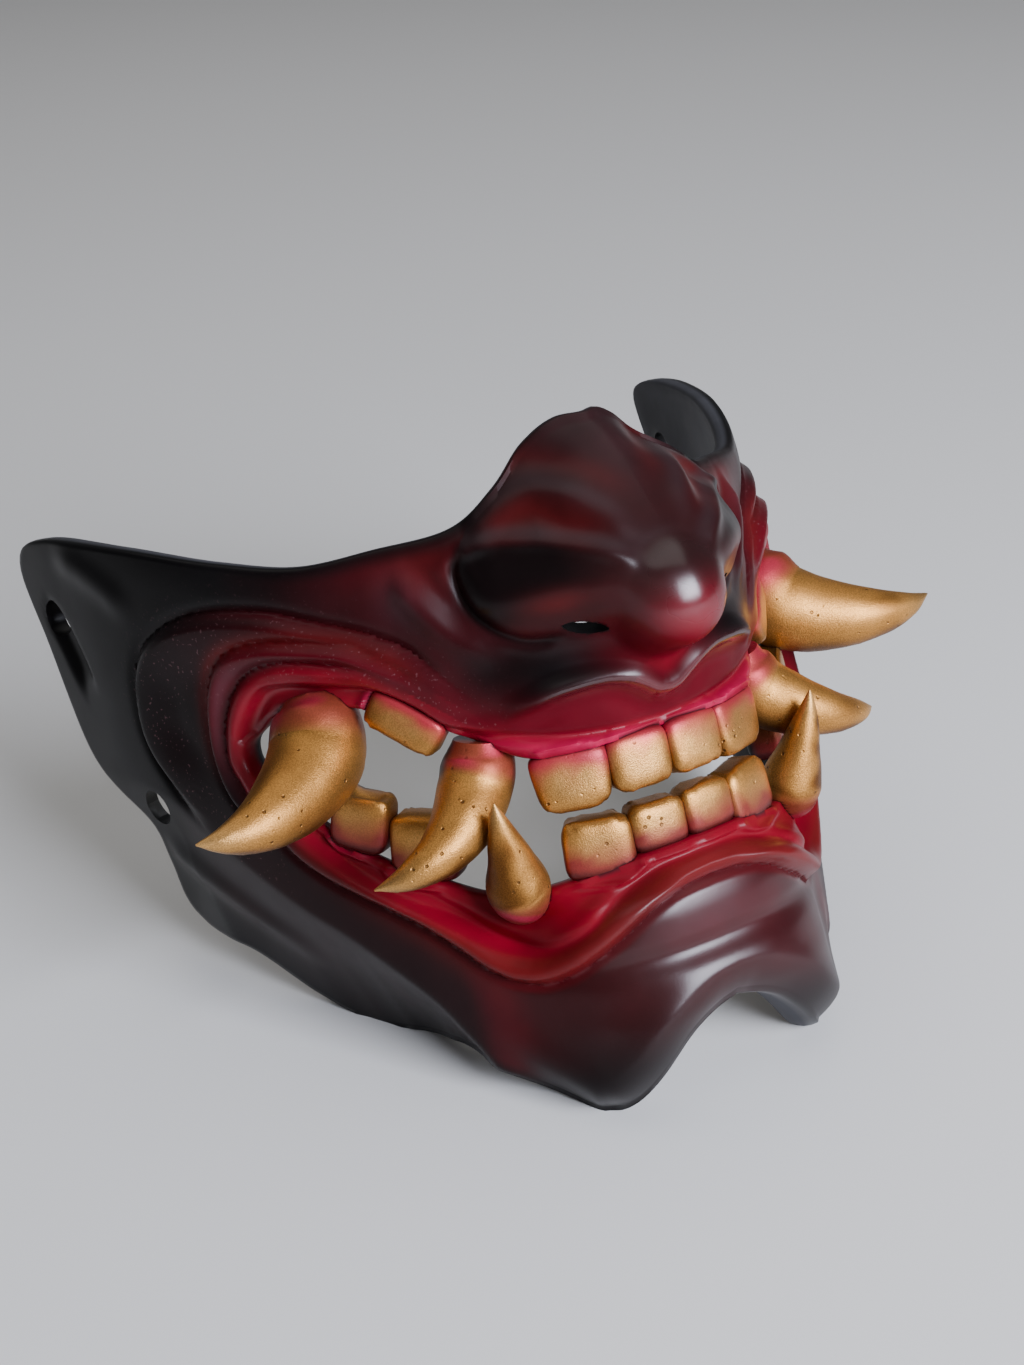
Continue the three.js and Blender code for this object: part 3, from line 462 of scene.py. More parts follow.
def surface(a, h, out):
    """Points that stand out from the chart; a may be negative for the other half."""
    side = np.where(np.asarray(a) < 0, -1, 1)
    x, d, nx, nd = plan(np.abs(a))
    return stand(side * (x + out * nx), d + out * nd, h)


def section_out(a, h):
    """Nose and lip: each section's own smooth curve over a, then a smooth curve over h through them."""
    heights = np.array([height for height, _ in SECTIONS], float)
    rows = np.stack([table(a, places, True) for _, places in SECTIONS])
    x = np.clip(h, heights[0], heights[-1])
    i = np.clip(np.searchsorted(heights, x, side="right") - 1, 0, len(heights) - 2)

    def row(j):
        """Stand-off on section j, or on the last section past the ends."""
        return np.take_along_axis(rows, np.clip(j, 0, len(heights) - 1)[None], 0)[0]

    before, after = heights[np.clip(i - 1, 0, None)], heights[np.clip(i + 2, None, len(heights) - 1)]
    run = heights[i + 1] - heights[i]
    t = (x - heights[i]) / run
    rise = SECTION_PULL * run * (row(i + 1) - row(i - 1)) / (heights[i + 1] - before)
    fall = SECTION_PULL * run * (row(i + 2) - row(i)) / (after - heights[i])
    curve = row(i) * (1 + 2 * t) * (1 - t) ** 2 + rise * t * (1 - t) ** 2
    return curve + row(i + 1) * t * t * (3 - 2 * t) + fall * t * t * (t - 1)


def nose_grid():
    """Nose, ball and upper lip on an even grid of places, softened so that the sections don't show. The ball
    is a stretched sphere, blended in part of the way through the softening."""
    across = np.abs(np.arange(-NOSE_REACH, NOSE_REACH + NOSE_STEP / 2, NOSE_STEP))
    up = np.arange(SECTIONS[0][0], SECTIONS[-1][0] + NOSE_STEP / 2, NOSE_STEP)
    a, h = np.meshgrid(across, up, indexing="ij")
    out = section_out(a, h)
    inside = BALL_RADIUS ** 2 - (BALL_NARROWING * a) ** 2 - (h - BALL_HEIGHT) ** 2
    ball = np.where(inside > 0, BALL_FORWARD + np.sqrt(np.maximum(inside, 0)), FAR_BEHIND)
    for step in range(NOSE_SOFTENING):
        if step == BALL_STEP:
            out = np.where(inside > -BALL_MARGIN, blend(out, ball, np.interp(h, *BALL_BLEND)), out)
        wide = np.pad(out, 1, mode="reflect", reflect_type="odd")
        wide = (wide[:-2] + 2 * wide[1:-1] + wide[2:]) / 4
        out = (wide[:, :-2] + 2 * wide[:, 1:-1] + wide[:, 2:]) / 4
    return out


NOSE_GRID = nose_grid()


def nose_out(a, h):
    """The softened nose at any place, read between the grid's points."""
    columns, rows = NOSE_GRID.shape
    x = np.clip((np.abs(a) + NOSE_REACH) / NOSE_STEP, 0, columns - 1.001)
    y = np.clip((h - SECTIONS[0][0]) / NOSE_STEP, 0, rows - 1.001)
    i, j = x.astype(int), y.astype(int)
    tx, ty = x - i, y - j
    low = NOSE_GRID[i, j] * (1 - tx) + NOSE_GRID[i + 1, j] * tx
    high = NOSE_GRID[i, j + 1] * (1 - tx) + NOSE_GRID[i + 1, j + 1] * tx
    return (low * (1 - ty) + high * ty) * ease(np.abs(a), *NOSE_FADE)


def broad_form(a, h):
    """The face without its folds: nose, ball, jaw turned in, rolled top edge and full chin."""
    a = np.abs(a)
    out = nose_out(a, h)
    below = np.maximum(-beside(a, h, JAW_LINE)[0], 0)
    out = out - below ** 2 / (below + JAW_EASING) * np.interp(a, *zip(*JAW_SLOPE))
    edge = np.clip(1 - (table(a, TOP_LINE, True) - h) / TOP_ROLL_RUN, 0, TOP_ROLL_PAST)
    out = out - np.interp(a, *zip(*TOP_ROLL)) * edge ** 2
    return out + table(h, CHIN) * np.exp(-(a / CHIN_HALF) ** 4) * ease(h, *CHIN_TOP)


def fold_marks(a, h):
    """Signed distance and share for every line that the relief and the paint follow."""
    return {name: beside(np.abs(a), h, points) for name, points in MARKS.items()}


def tooth_marks(a, h):
    """How near each place is to the outline of the nearest tooth: 1 on it, more outside it."""
    nearest = np.full(np.shape(a), 9.0)
    for tooth in TEETH:
        for side in (1, -1):
            da, dh = a * side - tooth["a"], h - tooth["h"]
            x = da * math.cos(tooth["tilt"]) + dh * math.sin(tooth["tilt"])
            y = -da * math.sin(tooth["tilt"]) + dh * math.cos(tooth["tilt"])
            wide = (2 * np.abs(x) / tooth["width"]) ** TOOTH_OUTLINE
            high = (2 * np.abs(y) / tooth["height"]) ** TOOTH_OUTLINE
            nearest = np.minimum(nearest, (wide + high) ** (1 / TOOTH_OUTLINE))
    return nearest


def fold(off, height, foot, slope, groove, width):
    """Profile across a fold, on the negative side of its line. The crest reaches its height at the distance
    foot and loses a share of it between two distances. A bell-shaped groove runs along the other side."""
    lost, near, far = slope
    crest = height * ease(-off, CREST_START, foot) * (1 - lost * ease(-off, near, far))
    return crest - groove * bump(off, width) * (off > 0)


def gum_relief(a, gum):
    """Gums: the step down from the lip, a roll between fine creases in front, and a swelling at the side."""
    side = ease(a, *GUM_SIDE)
    step = (GUM_STEP_FRONT + GUM_STEP_SIDE * side) * ease(gum, *GUM_STEP_RUN)
    swelling = GUM_SWELLING * side * bell(gum, *GUM_SWELLING_BELL)
    roll = bell(gum, *GUM_ROLL_BELL) - bell(gum, *GUM_CREASE_BELL)
    return swelling - step + (1 - side) * GUM_ROLL * roll


def ledge_relief(off):
    """Ledge of the upper lip: a steep step that falls away above, with a groove below it."""
    step = LEDGE_HEIGHT * ease(off, *LEDGE_RUN) * (1 - LEDGE_LOST * ease(off, *LEDGE_LOST_RUN))
    return step - LEDGE_GROOVE * bell(off, *LEDGE_GROOVE_BELL)


def chin_relief(a, off):
    """Rolled lower edge of the chin: a low bead, then a drop that is deepest at the lobes."""
    drop = CHIN_DROP + CHIN_LOBE_DROP * bell(a, *CHIN_LOBE_BELL)
    edge = np.clip(1 - off / CHIN_EDGE_RUN, 0, CHIN_EDGE_PAST)
    return CHIN_ROLL * bell(off, *CHIN_ROLL_BELL) - drop * edge ** 2


def relief(a, h, marks):
    """Full front relief. Each fold rises steeply from its crease and slopes away towards the mouth."""
    out = broad_form(a, h)
    for name, (rise, fall, profile) in FOLDS.items():
        off, share = marks[name]
        out = out + fade(share, rise, fall) * fold(off, *profile)
    off, share = marks["lip"]
    lip = fold(off, np.interp(share, *LIP_HEIGHTS), *LIP_PROFILE) * ease(-off, *LIP_REACH)
    out = out + ease(share, 0, LIP_RISE) * lip
    gum = -marks["gum"][0]
    out = out + gum_relief(a, gum)
    off, share = marks["ledge"]
    out = out + ease(share, *LEDGE_END) * ledge_relief(off)
    for name, (rise, fall, bells) in RIDGES.items():
        off, share = marks[name]
        ridge = sum(height * bell(off, middle, width) for height, middle, width in bells)
        out = out + fade(share, rise, fall) * ridge
    off, share = marks["trough"]
    out = out - fade(share, *TROUGH_SHARES) * TROUGH_DEPTH * np.exp(-(off / TROUGH_HALF) ** 4)
    out = out + ease(a, *CHIN_EDGE_SIDE) * ease(h, *CHIN_EDGE_TOP) * chin_relief(a, marks["chin"][0])
    return out + ROOT_ROLL * bell(tooth_marks(a, h), *ROOT_ROLL_BELL) * ease(gum, *ROOT_ROLL_FROM)


def back_out(a, h, wall):
    """Hollow side: the broad form averaged with four places round it, no deeper behind the nose than the
    nose's own hollow, and a wall further in."""
    here = broad_form(a, h)
    around = here
    for da, dh in ((HOLLOW_REACH, 0), (-HOLLOW_REACH, 0), (0, HOLLOW_REACH), (0, -HOLLOW_REACH)):
        around = around + broad_form(a + da, h + dh)
    nose = HOLLOW_LIMIT + NOSE_HOLLOW * patch(a, h, NOSE_HOLLOW_AT, NOSE_HOLLOW_SPREAD)
    return np.minimum(np.minimum(here, around / 5), nose) - wall


def half_ring():
    """Stations of half the ring, spread by the run of both edges and closer together across the nose."""
    line = through(STATIONS, CURVE_STEPS)

    def run(i):
        """Share of the run of one edge, whose places are in columns i and i + 1."""
        steps = np.linalg.norm(np.diff(line[:, i:i + 2], axis=0), axis=1)
        total = np.concatenate([[0], np.cumsum(steps)])
        return total / total[-1]

    upper = np.arange(len(line)) < len(line) / 2
    nose = np.where(upper, np.minimum(line[:, 0] / NOSE_HALF, 1), 1)
    weight = MOUTH_SHARE * run(0) + (1 - MOUTH_SHARE - NOSE_SHARE) * run(2) + NOSE_SHARE * nose
    at = np.linspace(0, 1, RING_STEPS + 1)
    return np.stack([np.interp(at, weight, line[:, i]) for i in range(line.shape[1])], 1)


def shell_half():
    """Right half of the shell. Each station has one closed section: over the front, round the outer edge,
    along the hollow and round the mouth's edge. v runs from 0 at the mouth to 1 at the outer edge."""
    stations = half_ring()
    mouth_a, mouth_h, rim_a, rim_h, rim_wall = (stations[:, i:i + 1] for i in range(5))
    width = np.hypot(rim_a - mouth_a, rim_h - mouth_h)
    turn = EDGE_ROUND / width

    def place(v):
        """Place (a, h) at v, kept on this half."""
        return np.maximum(mouth_a + (rim_a - mouth_a) * v, 0), mouth_h + (rim_h - mouth_h) * v

    def wall_at(v):
        """Thickness: the common wall, changing to the rim's and to the mouth's near the edges."""
        rim = WALL + (rim_wall - WALL) * ease(v * width, width - RIM_WALL_RUN, width)
        return rim + (MOUTH_WALL - WALL) * ease(MOUTH_WALL_RUN - v * width, 0, MOUTH_WALL_RUN)

    def front(v):
        """Stand-off of the front."""
        a, h = place(v)
        return relief(a, h, fold_marks(a, h))

    def back(v):
        """Stand-off of the hollow side, with some wall left behind every crease."""
        a, h = place(v)
        return np.minimum(back_out(a, h, wall_at(v)), front(v) - THINNEST * wall_at(v))

    def rounded(v, towards):
        """Rounded edge past v: from front to back at the rim, and from back to front at the mouth."""
        top, bottom = (front(v), back(v)) if towards > 0 else (back(v), front(v))
        angle = math.pi * np.arange(1, ROUND_STEPS + 1) / (ROUND_STEPS + 1)
        past = towards * turn * np.sin(angle) ** EDGE_FULLNESS
        return v + past, (top + bottom) / 2 + (top - bottom) / 2 * np.cos(angle)

    face_v = turn + (1 - 2 * turn) * np.linspace(0, 1, FACE_STEPS + 1) ** FACE_CROWDING
    back_v = 1 - turn - (1 - 2 * turn) * np.linspace(0, 1, BACK_STEPS + 1)
    parts = [(face_v, front(face_v)), rounded(1 - turn, 1), (back_v, back(back_v)), rounded(turn, -1)]
    v = np.concatenate([part[0] for part in parts], 1)
    out = np.concatenate([part[1] for part in parts], 1)
    a, h = place(v)
    on_back = np.zeros(v.shape)
    on_back[:, FACE_STEPS + 1 + ROUND_STEPS // 2:] = 1
    mouth_edge = FACE_STEPS + 1 + ROUND_STEPS + BACK_STEPS + 1
    on_back[:, mouth_edge + ROUND_STEPS // 2:] = 0
    return a, h, out, on_back, (1 - v) * width


def colour(red, green, blue):
    """An sRGB colour as linear light."""
    value = np.array([red, green, blue], float) / 255
    return np.where(value <= 0.04045, value / 12.92, ((value + 0.055) / 1.055) ** 2.4)


def sprayed(ground, shape, layers):
    """Paint of one tone, with layers sprayed over it in turn, each a tone and how thickly it covers."""
    paint = np.broadcast_to(colour(*ground), shape + (3,)).copy()
    for tone, amount in layers:
        amount = np.clip(amount, 0, 1)[..., None]
        paint = paint * (1 - amount) + colour(*tone) * amount
    return paint


# Tones of the paint, in sRGB from 0 to 255
BLACK = (13, 11, 12)
DARK = (32, 12, 14)
BROWN = (46, 17, 18)
MAROON = (66, 12, 19)
BRICK = (94, 20, 22)
CRIMSON = (138, 12, 34)
DEEP_RED = (104, 4, 14)
WINE = (92, 10, 24)
ORANGE = (112, 24, 26)
# Mauve for painted sheen on the cheek and on the middle fold's crest
SHEEN_MAUVE = (88, 60, 68)
# Grey for the painted sheen and highlights on the nose
SHEEN_GREY = (62, 50, 53)
PINK = (226, 18, 92)
SEAM = (52, 7, 15)
GOLD = (214, 152, 78)
PALE_GOLD = (244, 200, 132)
BRONZE = (112, 66, 26)
TUSK_ROOT = (142, 40, 44)
UPPER_ROOT = (186, 18, 62)
LOWER_ROOT = (132, 20, 40)
# Grey of the hollow side and the backs of tusks and teeth: black paint lightened to stand in for light
HOLLOW_LIT_GREY = (82, 82, 87)
HOLE_WALL = (26, 24, 26)

# Heights between which the paint of the lower half gives way to the upper half's, and back, and the seed
# and size of the clouds in the spray
UPPER_HALF = (62, 78)
LOWER_HALF = (68, 58)
SPRAY_CLOUDS = (3, 22)


def cheek_paint(a, h, marks, cloud):
    """Upper cheek, above the outer fold: maroon with a brick-red patch and a mauve patch of painted
    sheen beside the nose, sprayed black towards the ear.
    """
    outer = marks["outer"][0]
    upper = ease(h, *UPPER_HALF)
    return [
        (MAROON, 0.8 * upper * ease(a, 82, 46)),
        (BRICK, 0.7 * patch(a, h, (45, 114), (9, 6))),
        # Mauve patch beside the nose: painted sheen
        (SHEEN_MAUVE, 0.35 * patch(a, h, (48, 109), (5, 6))),
        (BLACK, ease(a + cloud * 4, 66, 92) * ease(outer, -0.5, 2.5) * upper),
        (BLACK, ease(a, 112, 130))]


def ring_paint(a, h, marks):
    """Rings round the tusks: dark in the valleys, and redder from each fold to the next, up to the lip,
    with a mauve painted sheen on the middle fold's crest.
    """
    outer, outer_share = marks["outer"]
    middle, middle_share = marks["middle"]
    lip, lip_share = marks["lip"]
    upper = ease(h, *UPPER_HALF)
    within_outer = ease(outer, 1.5, -1.5) * ease(outer_share, 1, 0.9)
    below_outer = ease(outer, 0, -2) * ease(middle, -1, 2)
    below_middle = ease(middle, 1, -2) * ease(lip, -2, 2)
    return [
        (MAROON, 0.8 * within_outer * ease(outer_share, 0.66, 0.42) * upper),
        (WINE, 0.55 * bump(outer + 5, 4.5) * span(outer_share, 0.05, 0.2, 0.3, 0.5)),
        (BLACK, 0.6 * below_outer * ease(a, 66, 84) * upper),
        (BLACK, 0.8 * bump(outer + 0.2, 1.8) * span(outer_share, 0.35, 0.6, 0.9, 1)),
        (BRICK, 0.9 * bump(middle - 0.3, 2.2) * span(middle_share, 0, 0.1, 0.6, 0.85)),
        (WINE, 0.8 * below_middle * upper * ease(middle_share, 0.85, 0.6)),
        # Mauve along the middle fold's crest: painted sheen
        (SHEEN_MAUVE, 0.4 * bump(middle + 4.4, 1.5) * span(middle_share, 0.3, 0.5, 0.8, 1)),
        (CRIMSON, 0.85 * ease(lip, 1, -2) * upper),
        (MAROON, 0.75 * bump(lip - 0.4, 1.3) * span(lip_share, 0.1, 0.2, 0.4, 0.6))]


def upper_lip_paint(a, h, marks):
    """Upper lip and the cheek beside the nose: wine red, with painted shade under the nose: a dark band
    and a black patch below it, and black in the hollow above the ledge.
    """
    ledge = marks["ledge"][0]
    lip_zone = ease(a, 56, 40) * ease(h, 96, 78)
    below_ledge = ease(ledge, 0.8, -1.2) * ease(h, 71, 74) * ease(h, 88, 84)
    return [
        (WINE, 0.85 * lip_zone),
        (CRIMSON, 0.55 * lip_zone * ease(h, 83, 73)),
        # Dark band, black patch and black above the ledge: painted shade under the nose
        (DARK, 0.95 * ease(a, 44, 32) * bump(h - 91, 6.5)),
        (BLACK, 0.9 * patch(a, h, (20, 88.5), (13, 5))),
        (WINE, 0.9 * ease(a, 36, 30) * below_ledge),
        (BLACK, 0.8 * ease(a, 34, 20) * bump(ledge - 3.4, 2.4))]


def gum_paint(a, h, marks, cloud):
    """Lower lip and gums: an orange-brown lip, crimson gums, and pink round the roots of the teeth."""
    lip = marks["lip"][0]
    gum = -marks["gum"][0]
    low = ease(h, *LOWER_HALF)
    tube = ease(-lip, -1, 1.5) * ease(gum, 1.0, -1.5) * low
    roots = bump(tooth_marks(a, h) - 1.06, 0.12) * ease(gum, -1, 1)
    return [
        (BRICK, 0.6 * bump(np.maximum(lip, 0), 4) * low * ease(a, 92, 60)),
        (ORANGE, 0.95 * tube * ease(a, 88, 66)),
        (BRICK, 0.9 * tube * ease(a, 66, 88)),
        (MAROON, 0.7 * bump(lip - 0.5, 1.1) * low * ease(a, 96, 80)),
        (CRIMSON, ease(gum, -1.8, 0.6)),
        (DEEP_RED, 0.5 * ease(gum, 0, 2) * ease(h, 46, 38)),
        (PINK, 0.55 * roots * (0.6 + 0.4 * cloud) * ease(h, 52, 66)),
        (PINK, 0.32 * bump(gum - 2, 1.4) * ease(a, 44, 26) * ease(h, 66, 70))]


def nose_paint(a, h, marks):
    """Nose: brown, with brick red in the valleys beside its two ridges, black wings and a crimson
    underside to the ball. Grey on the hump's top is painted sheen, grey just above each ridge's crest
    is a painted highlight, and the dark line in the wing's crease is painted shade."""
    nose, nose_share = marks["nose"]
    wing, wing_share = marks["wing"]
    crease, crease_share = marks["crease"]
    within_crease = ease(crease, 1.5, -1.5) * ease(a, 37, 33)
    zone = np.maximum(ease(h, 118, 121) * ease(a, 40, 28), within_crease) * ease(h, 91, 96)
    wing_top = ease(wing, -0.6, 1.4) * ease(a, 7, 17) * ease(h, 98, 102) * zone
    return [
        (BROWN, zone),
        # Grey on the hump's top: painted sheen
        (SHEEN_GREY, 0.22 * zone * ease(h, 114, 130) * ease(a, 26, 4)),
        (BRICK, 0.62 * zone * bump(nose - 4.2, 3.6) * span(nose_share, 0.02, 0.2, 0.75, 1)),
        (BRICK, 0.34 * zone * bump(nose + 6.2, 2.6) * span(nose_share, 0.1, 0.4, 0.6, 0.85)),
        # Grey just above the nose ridge's crest: painted highlight
        (SHEEN_GREY, 0.35 * zone * bump(nose + 1.6, 1.6) * ease(nose_share, 1, 0.7)),
        (BLACK, 0.85 * wing_top),
        # Grey just above the wing ridge's crest: painted highlight
        (SHEEN_GREY, 0.45 * zone * bump(wing + 1.6, 1.4) * ease(wing_share, 1, 0.7)),
        (BRICK, 0.75 * patch(a, h, (17.5, 102.2), (6, 2.6)) * zone),
        (MAROON, 0.8 * patch(a, h, (25, 97), (8, 2.6)) * zone),
        (CRIMSON, 0.7 * bump(np.hypot(1.2 * a, h - 95), 11) * ease(h, 106, 92)),
        # Black line in the wing's crease: painted shade
        (BLACK, 0.7 * bump(crease, 0.8) * span(crease_share, 0, 0.1, 0.9, 1))]


def edge_paint(a, h, marks, from_rim, cloud):
    """Chin, jaw and outer edge: brown with a wine-red patch in the middle, sprayed black along the edges.
    The chin's black towards its bottom is also painted shade where it rolls under.
    """
    chin = ease(a, 58, 40) * ease(marks["lip"][0], 0.3, 2.5) * ease(h, 42, 34)
    jaw_edge = ease(22 - from_rim + cloud * 3, 0, 22) * ease(h, 66, 50)
    return [
        (BROWN, 0.9 * chin),
        (WINE, 0.35 * chin * patch(a, h, (4, 30), (12, 5))),
        # Black towards the chin's bottom: black paint of the edge, and painted shade where the chin rolls
        # under
        (BLACK, 0.9 * chin * ease(h + 0.15 * a, 22, 5)),
        (BLACK, 0.8 * jaw_edge * ease(a, 52, 80)),
        (BLACK, 0.9 * ease(4.5 - from_rim, 0, 4) * ease(a, 16, 32))]


def shell_paint(a, h, marks, on_back, from_rim):
    """Airbrushed layers over a dark ground, each placed by its fold, with a plain grey on the hollow side,
    lighter than its black paint to stand in for the light that it catches.
    """
    a = np.abs(a)
    cloud = waves(a, h, *SPRAY_CLOUDS)
    layers = cheek_paint(a, h, marks, cloud) + ring_paint(a, h, marks) + upper_lip_paint(a, h, marks)
    layers += gum_paint(a, h, marks, cloud) + nose_paint(a, h, marks)
    layers += edge_paint(a, h, marks, from_rim, cloud)
    # The hollow side's grey: its black paint lightened to stand in for light
    return sprayed(DARK, a.shape, layers + [(HOLLOW_LIT_GREY, on_back)])


def shell_gloss(a, h, marks, on_back):
    """Wet varnish on the gums, the lip's ledge, the ball of the nose and the chin, and below zero where the
    paint is dull: the upper lip, the groove below the nose, the sides of the lower gum and the hollow."""
    a = np.abs(a)
    ledge = marks["ledge"][0]
    gum = ease(-marks["gum"][0], -2.5, 0.5)
    gum_wet = gum * np.interp(h, (52, 66), (0.05, 0.3))
    ledge_wet = 1.3 * bump(ledge - 0.7, 1.5) * ease(a, 26, 18)
    ball_wet = 0.65 * ease(np.hypot(1.2 * a, h - 101), 12, 6)
    chin_wet = 0.36 * ease(h, 41, 36) * ease(a, 34, 14)
    lip_dry = 0.2 * ease(a, 50, 34) * ease(h, 84, 81) * ease(h, 68, 73)
    groove_dry = 0.35 * bump(a, 17) * ease(ledge, 2.5, 5) * ease(h, 93, 89)
    gum_dry = 0.2 * gum * ease(h, 44, 36) * ease(a, 12, 26)
    wet = np.clip(np.maximum(gum_wet, ledge_wet) + ball_wet + chin_wet, 0, 1.2) * (1 - on_back)
    return wet - lip_dry - groove_dry - gum_dry - 0.3 * on_back


def shell_dust(marks, on_back):
    """Pale specks along the valley inside the outer fold, none on the gums or the hollow side."""
    gum = ease(-marks["gum"][0], -2.5, 0.5)
    return 0.6 * bump(marks["outer"][0] + 8, 10) * (1 - gum) * (1 - on_back)


def grid_faces(columns, rows, wrap):
    """Quads between neighbouring columns of points; every column is a closed loop."""
    last = columns if wrap else columns - 1
    i = np.arange(last)[:, None]
    j = np.arange(rows)[None]
    near, far = i * rows, (i + 1) % columns * rows
    k = (j + 1) % rows
    return np.stack([near + j, far + j, far + k, near + k], -1).reshape(-1, 4)


def new_mesh(name, points, faces, values):
    """A closed mesh in metres with its paint and finish stored on its points."""
    mesh = bpy.data.meshes.new(name)
    mesh.from_pydata((points.reshape(-1, 3) * MM).tolist(), [], faces)
    mesh.update()
    paint = mesh.attributes.new("paint", "FLOAT_COLOR", "POINT")
    flat = np.concatenate([values["paint"].reshape(-1, 3), np.ones((len(mesh.vertices), 1))], 1)
    paint.data.foreach_set("color", flat.ravel())
    values = dict(values, known=np.ones(points.shape[:-1]))
    for key in ("gold", "gloss", "dust", "known"):
        layer = mesh.attributes.new(key, "FLOAT", "POINT")
        layer.data.foreach_set("value", np.broadcast_to(values[key], points.shape[:-1]).ravel())
    mesh.polygons.foreach_set("use_smooth", np.ones(len(mesh.polygons), bool))
    return mesh


def shell_mesh():
    """Both halves of the shell as one closed grid; the other half is the same points with x turned round."""
    a, h, out, on_back, from_rim = shell_half()
    marks = fold_marks(a, h)
    points = surface(a, h, out)
    points[..., 2] = np.maximum(points[..., 2], 0)
    order = np.concatenate([np.arange(RING_STEPS + 1), np.arange(RING_STEPS - 1, 0, -1)])
    mirrored = np.arange(len(order)) > RING_STEPS
    points = points[order]
    points[mirrored, :, 0] *= -1
    values = dict(paint=shell_paint(a, h, marks, on_back, from_rim), gold=np.zeros(a.shape),
                  gloss=shell_gloss(a, h, marks, on_back), dust=shell_dust(marks, on_back))
    values = {key: value[order] for key, value in values.items()}
    columns, rows = points.shape[:2]
    return new_mesh("shell", points, grid_faces(columns, rows, True).tolist(), values)


def capped(name, points, values):
    """A tube of closed rings, shut at both ends by a fan of triangles round the middle of the ring."""
    columns, rows = points.shape[:2]
    faces = grid_faces(columns, rows, False).tolist()
    middles = points[[0, -1]].mean(1)
    ring = np.arange(rows)
    first, last = columns * rows, columns * rows + 1
    faces += [[first, int(i), int((i + 1) % rows)] for i in ring]
    end = (columns - 1) * rows
    faces += [[last, int(end + (i + 1) % rows), int(end + i)] for i in ring]
    spread = {}
    for key, value in values.items():
        value = np.broadcast_to(value, points.shape[:2] + value.shape[2:])
        ends = value[[0, -1]].mean(1)
        spread[key] = np.concatenate([value.reshape(columns * rows, -1), ends.reshape(2, -1)])
        if key != "paint":
            spread[key] = spread[key].ravel()
    return new_mesh(name, np.concatenate([points.reshape(-1, 3), middles]), faces, spread)


def tusk_paint(angle, share, shade, behind, root):
    """Gold, with painted shade in bronze on the underside, bronze in clouds, paler towards the tip, red at
    the root, and on the root's back the hollow's grey, lighter than its black paint to stand in for light.
    """
    below = ease(-np.sin(angle) + 0.35 * shade, 0, 0.9) * ease(share, 1.05, 0.8)
    return sprayed(GOLD, shade.shape, [
        # Bronze on the underside: painted shade
        (BRONZE, 0.9 * below),
        (BRONZE, 0.4 * ease(shade, 0.1, 1)),
        (PALE_GOLD, 0.45 * ease(share, 0.7, 1)),
        (TUSK_ROOT, 0.85 * root),
        (PINK, 0.4 * root * ease(share, 0.28, 0.2) * ease(shade, -0.3, 0.6)),
        # Grey on the root's back: the hollow side's black lightened to stand in for light
        (HOLLOW_LIT_GREY, behind)])


def tusk_mesh(name, points, side, seed):
    """A tapering tube swept along its centre line, with a ragged casting seam along its underside."""
    line = through(points, TUSK_STEPS)
    centre = stand(side * line[:, 0], line[:, 1], line[:, 2])
    along = np.gradient(centre, axis=0)
    along /= np.linalg.norm(along, axis=1)[:, None]
    across = np.cross((0, 0, 1), along)
    across /= np.linalg.norm(across, axis=1)[:, None]
    up = np.cross(along, across)
    angle = 2 * math.pi * np.arange(TUSK_SIDES)[None] / TUSK_SIDES
    share = np.linspace(0, 1, len(line))[:, None]
    run = share * TUSK_LENGTH
    radius = np.maximum(line[:, 3:], TUSK_TIP)
    under = np.exp(-((np.sin(angle) + 1) / SEAM_WIDTH) ** 2)
    ragged = 0.5 + 0.5 * waves(run, angle * 3, seed, 2.2)
    radius = radius * (1 + HAND_WAVINESS * waves(run, angle * 8, seed + 1, 9))
    radius = radius + SEAM_HEIGHT * under * ragged * ease(share, 0.3, 0.5) * ease(share, 1, 0.9)
    tube = centre[:, None] + across[:, None] * (radius * np.cos(angle))[..., None]
    tube = tube + up[:, None] * (radius * np.sin(angle))[..., None]
    shade = waves(run, angle * 8, seed + 2, 14)
    root = ease(share + 0.02 * shade, 0.36, 0.17)
    behind = ease((tube[..., 1] - centre[:, None, 1]) / radius, -0.1, 0.4) * ease(share, 0.42, 0.24)
    gold = (1 - 0.5 * root) * (1 - behind)
    none = np.zeros(gold.shape)
    paint = tusk_paint(angle, share, shade, behind, root)
    return capped(name, tube, dict(paint=paint, gold=gold, gloss=none, dust=none))


def tooth_paint(shade, edge, to_root, stain, behind, upper):
    """Gold, with painted shade in bronze at the sides and a painted highlight in pale gold in the middle,
    stained and dark-lined at the root, and behind it the hollow's grey, lighter than its black paint
    to stand in for light.
    """
    line_from, line_to = (0.85, 1.05) if upper else (0.62, 0.8)
    return sprayed(GOLD, shade.shape, [
        # Bronze at the sides: painted shade between the teeth, with random clouds of bronze
        (BRONZE, 0.45 * ease(edge, 0.72, 1.0) + 0.25 * ease(shade, 0, 1)),
        # Pale gold in the middle: painted highlight
        (PALE_GOLD, 0.35 * bump(edge, 0.5) * bump(to_root, 0.5)),
        (UPPER_ROOT if upper else LOWER_ROOT, 0.9 * stain),
        (SEAM, 0.7 * ease(to_root + 0.15 * edge, line_from, line_to)),
        # Grey behind: the hollow side's black lightened to stand in for light
        (HOLLOW_LIT_GREY, behind)])


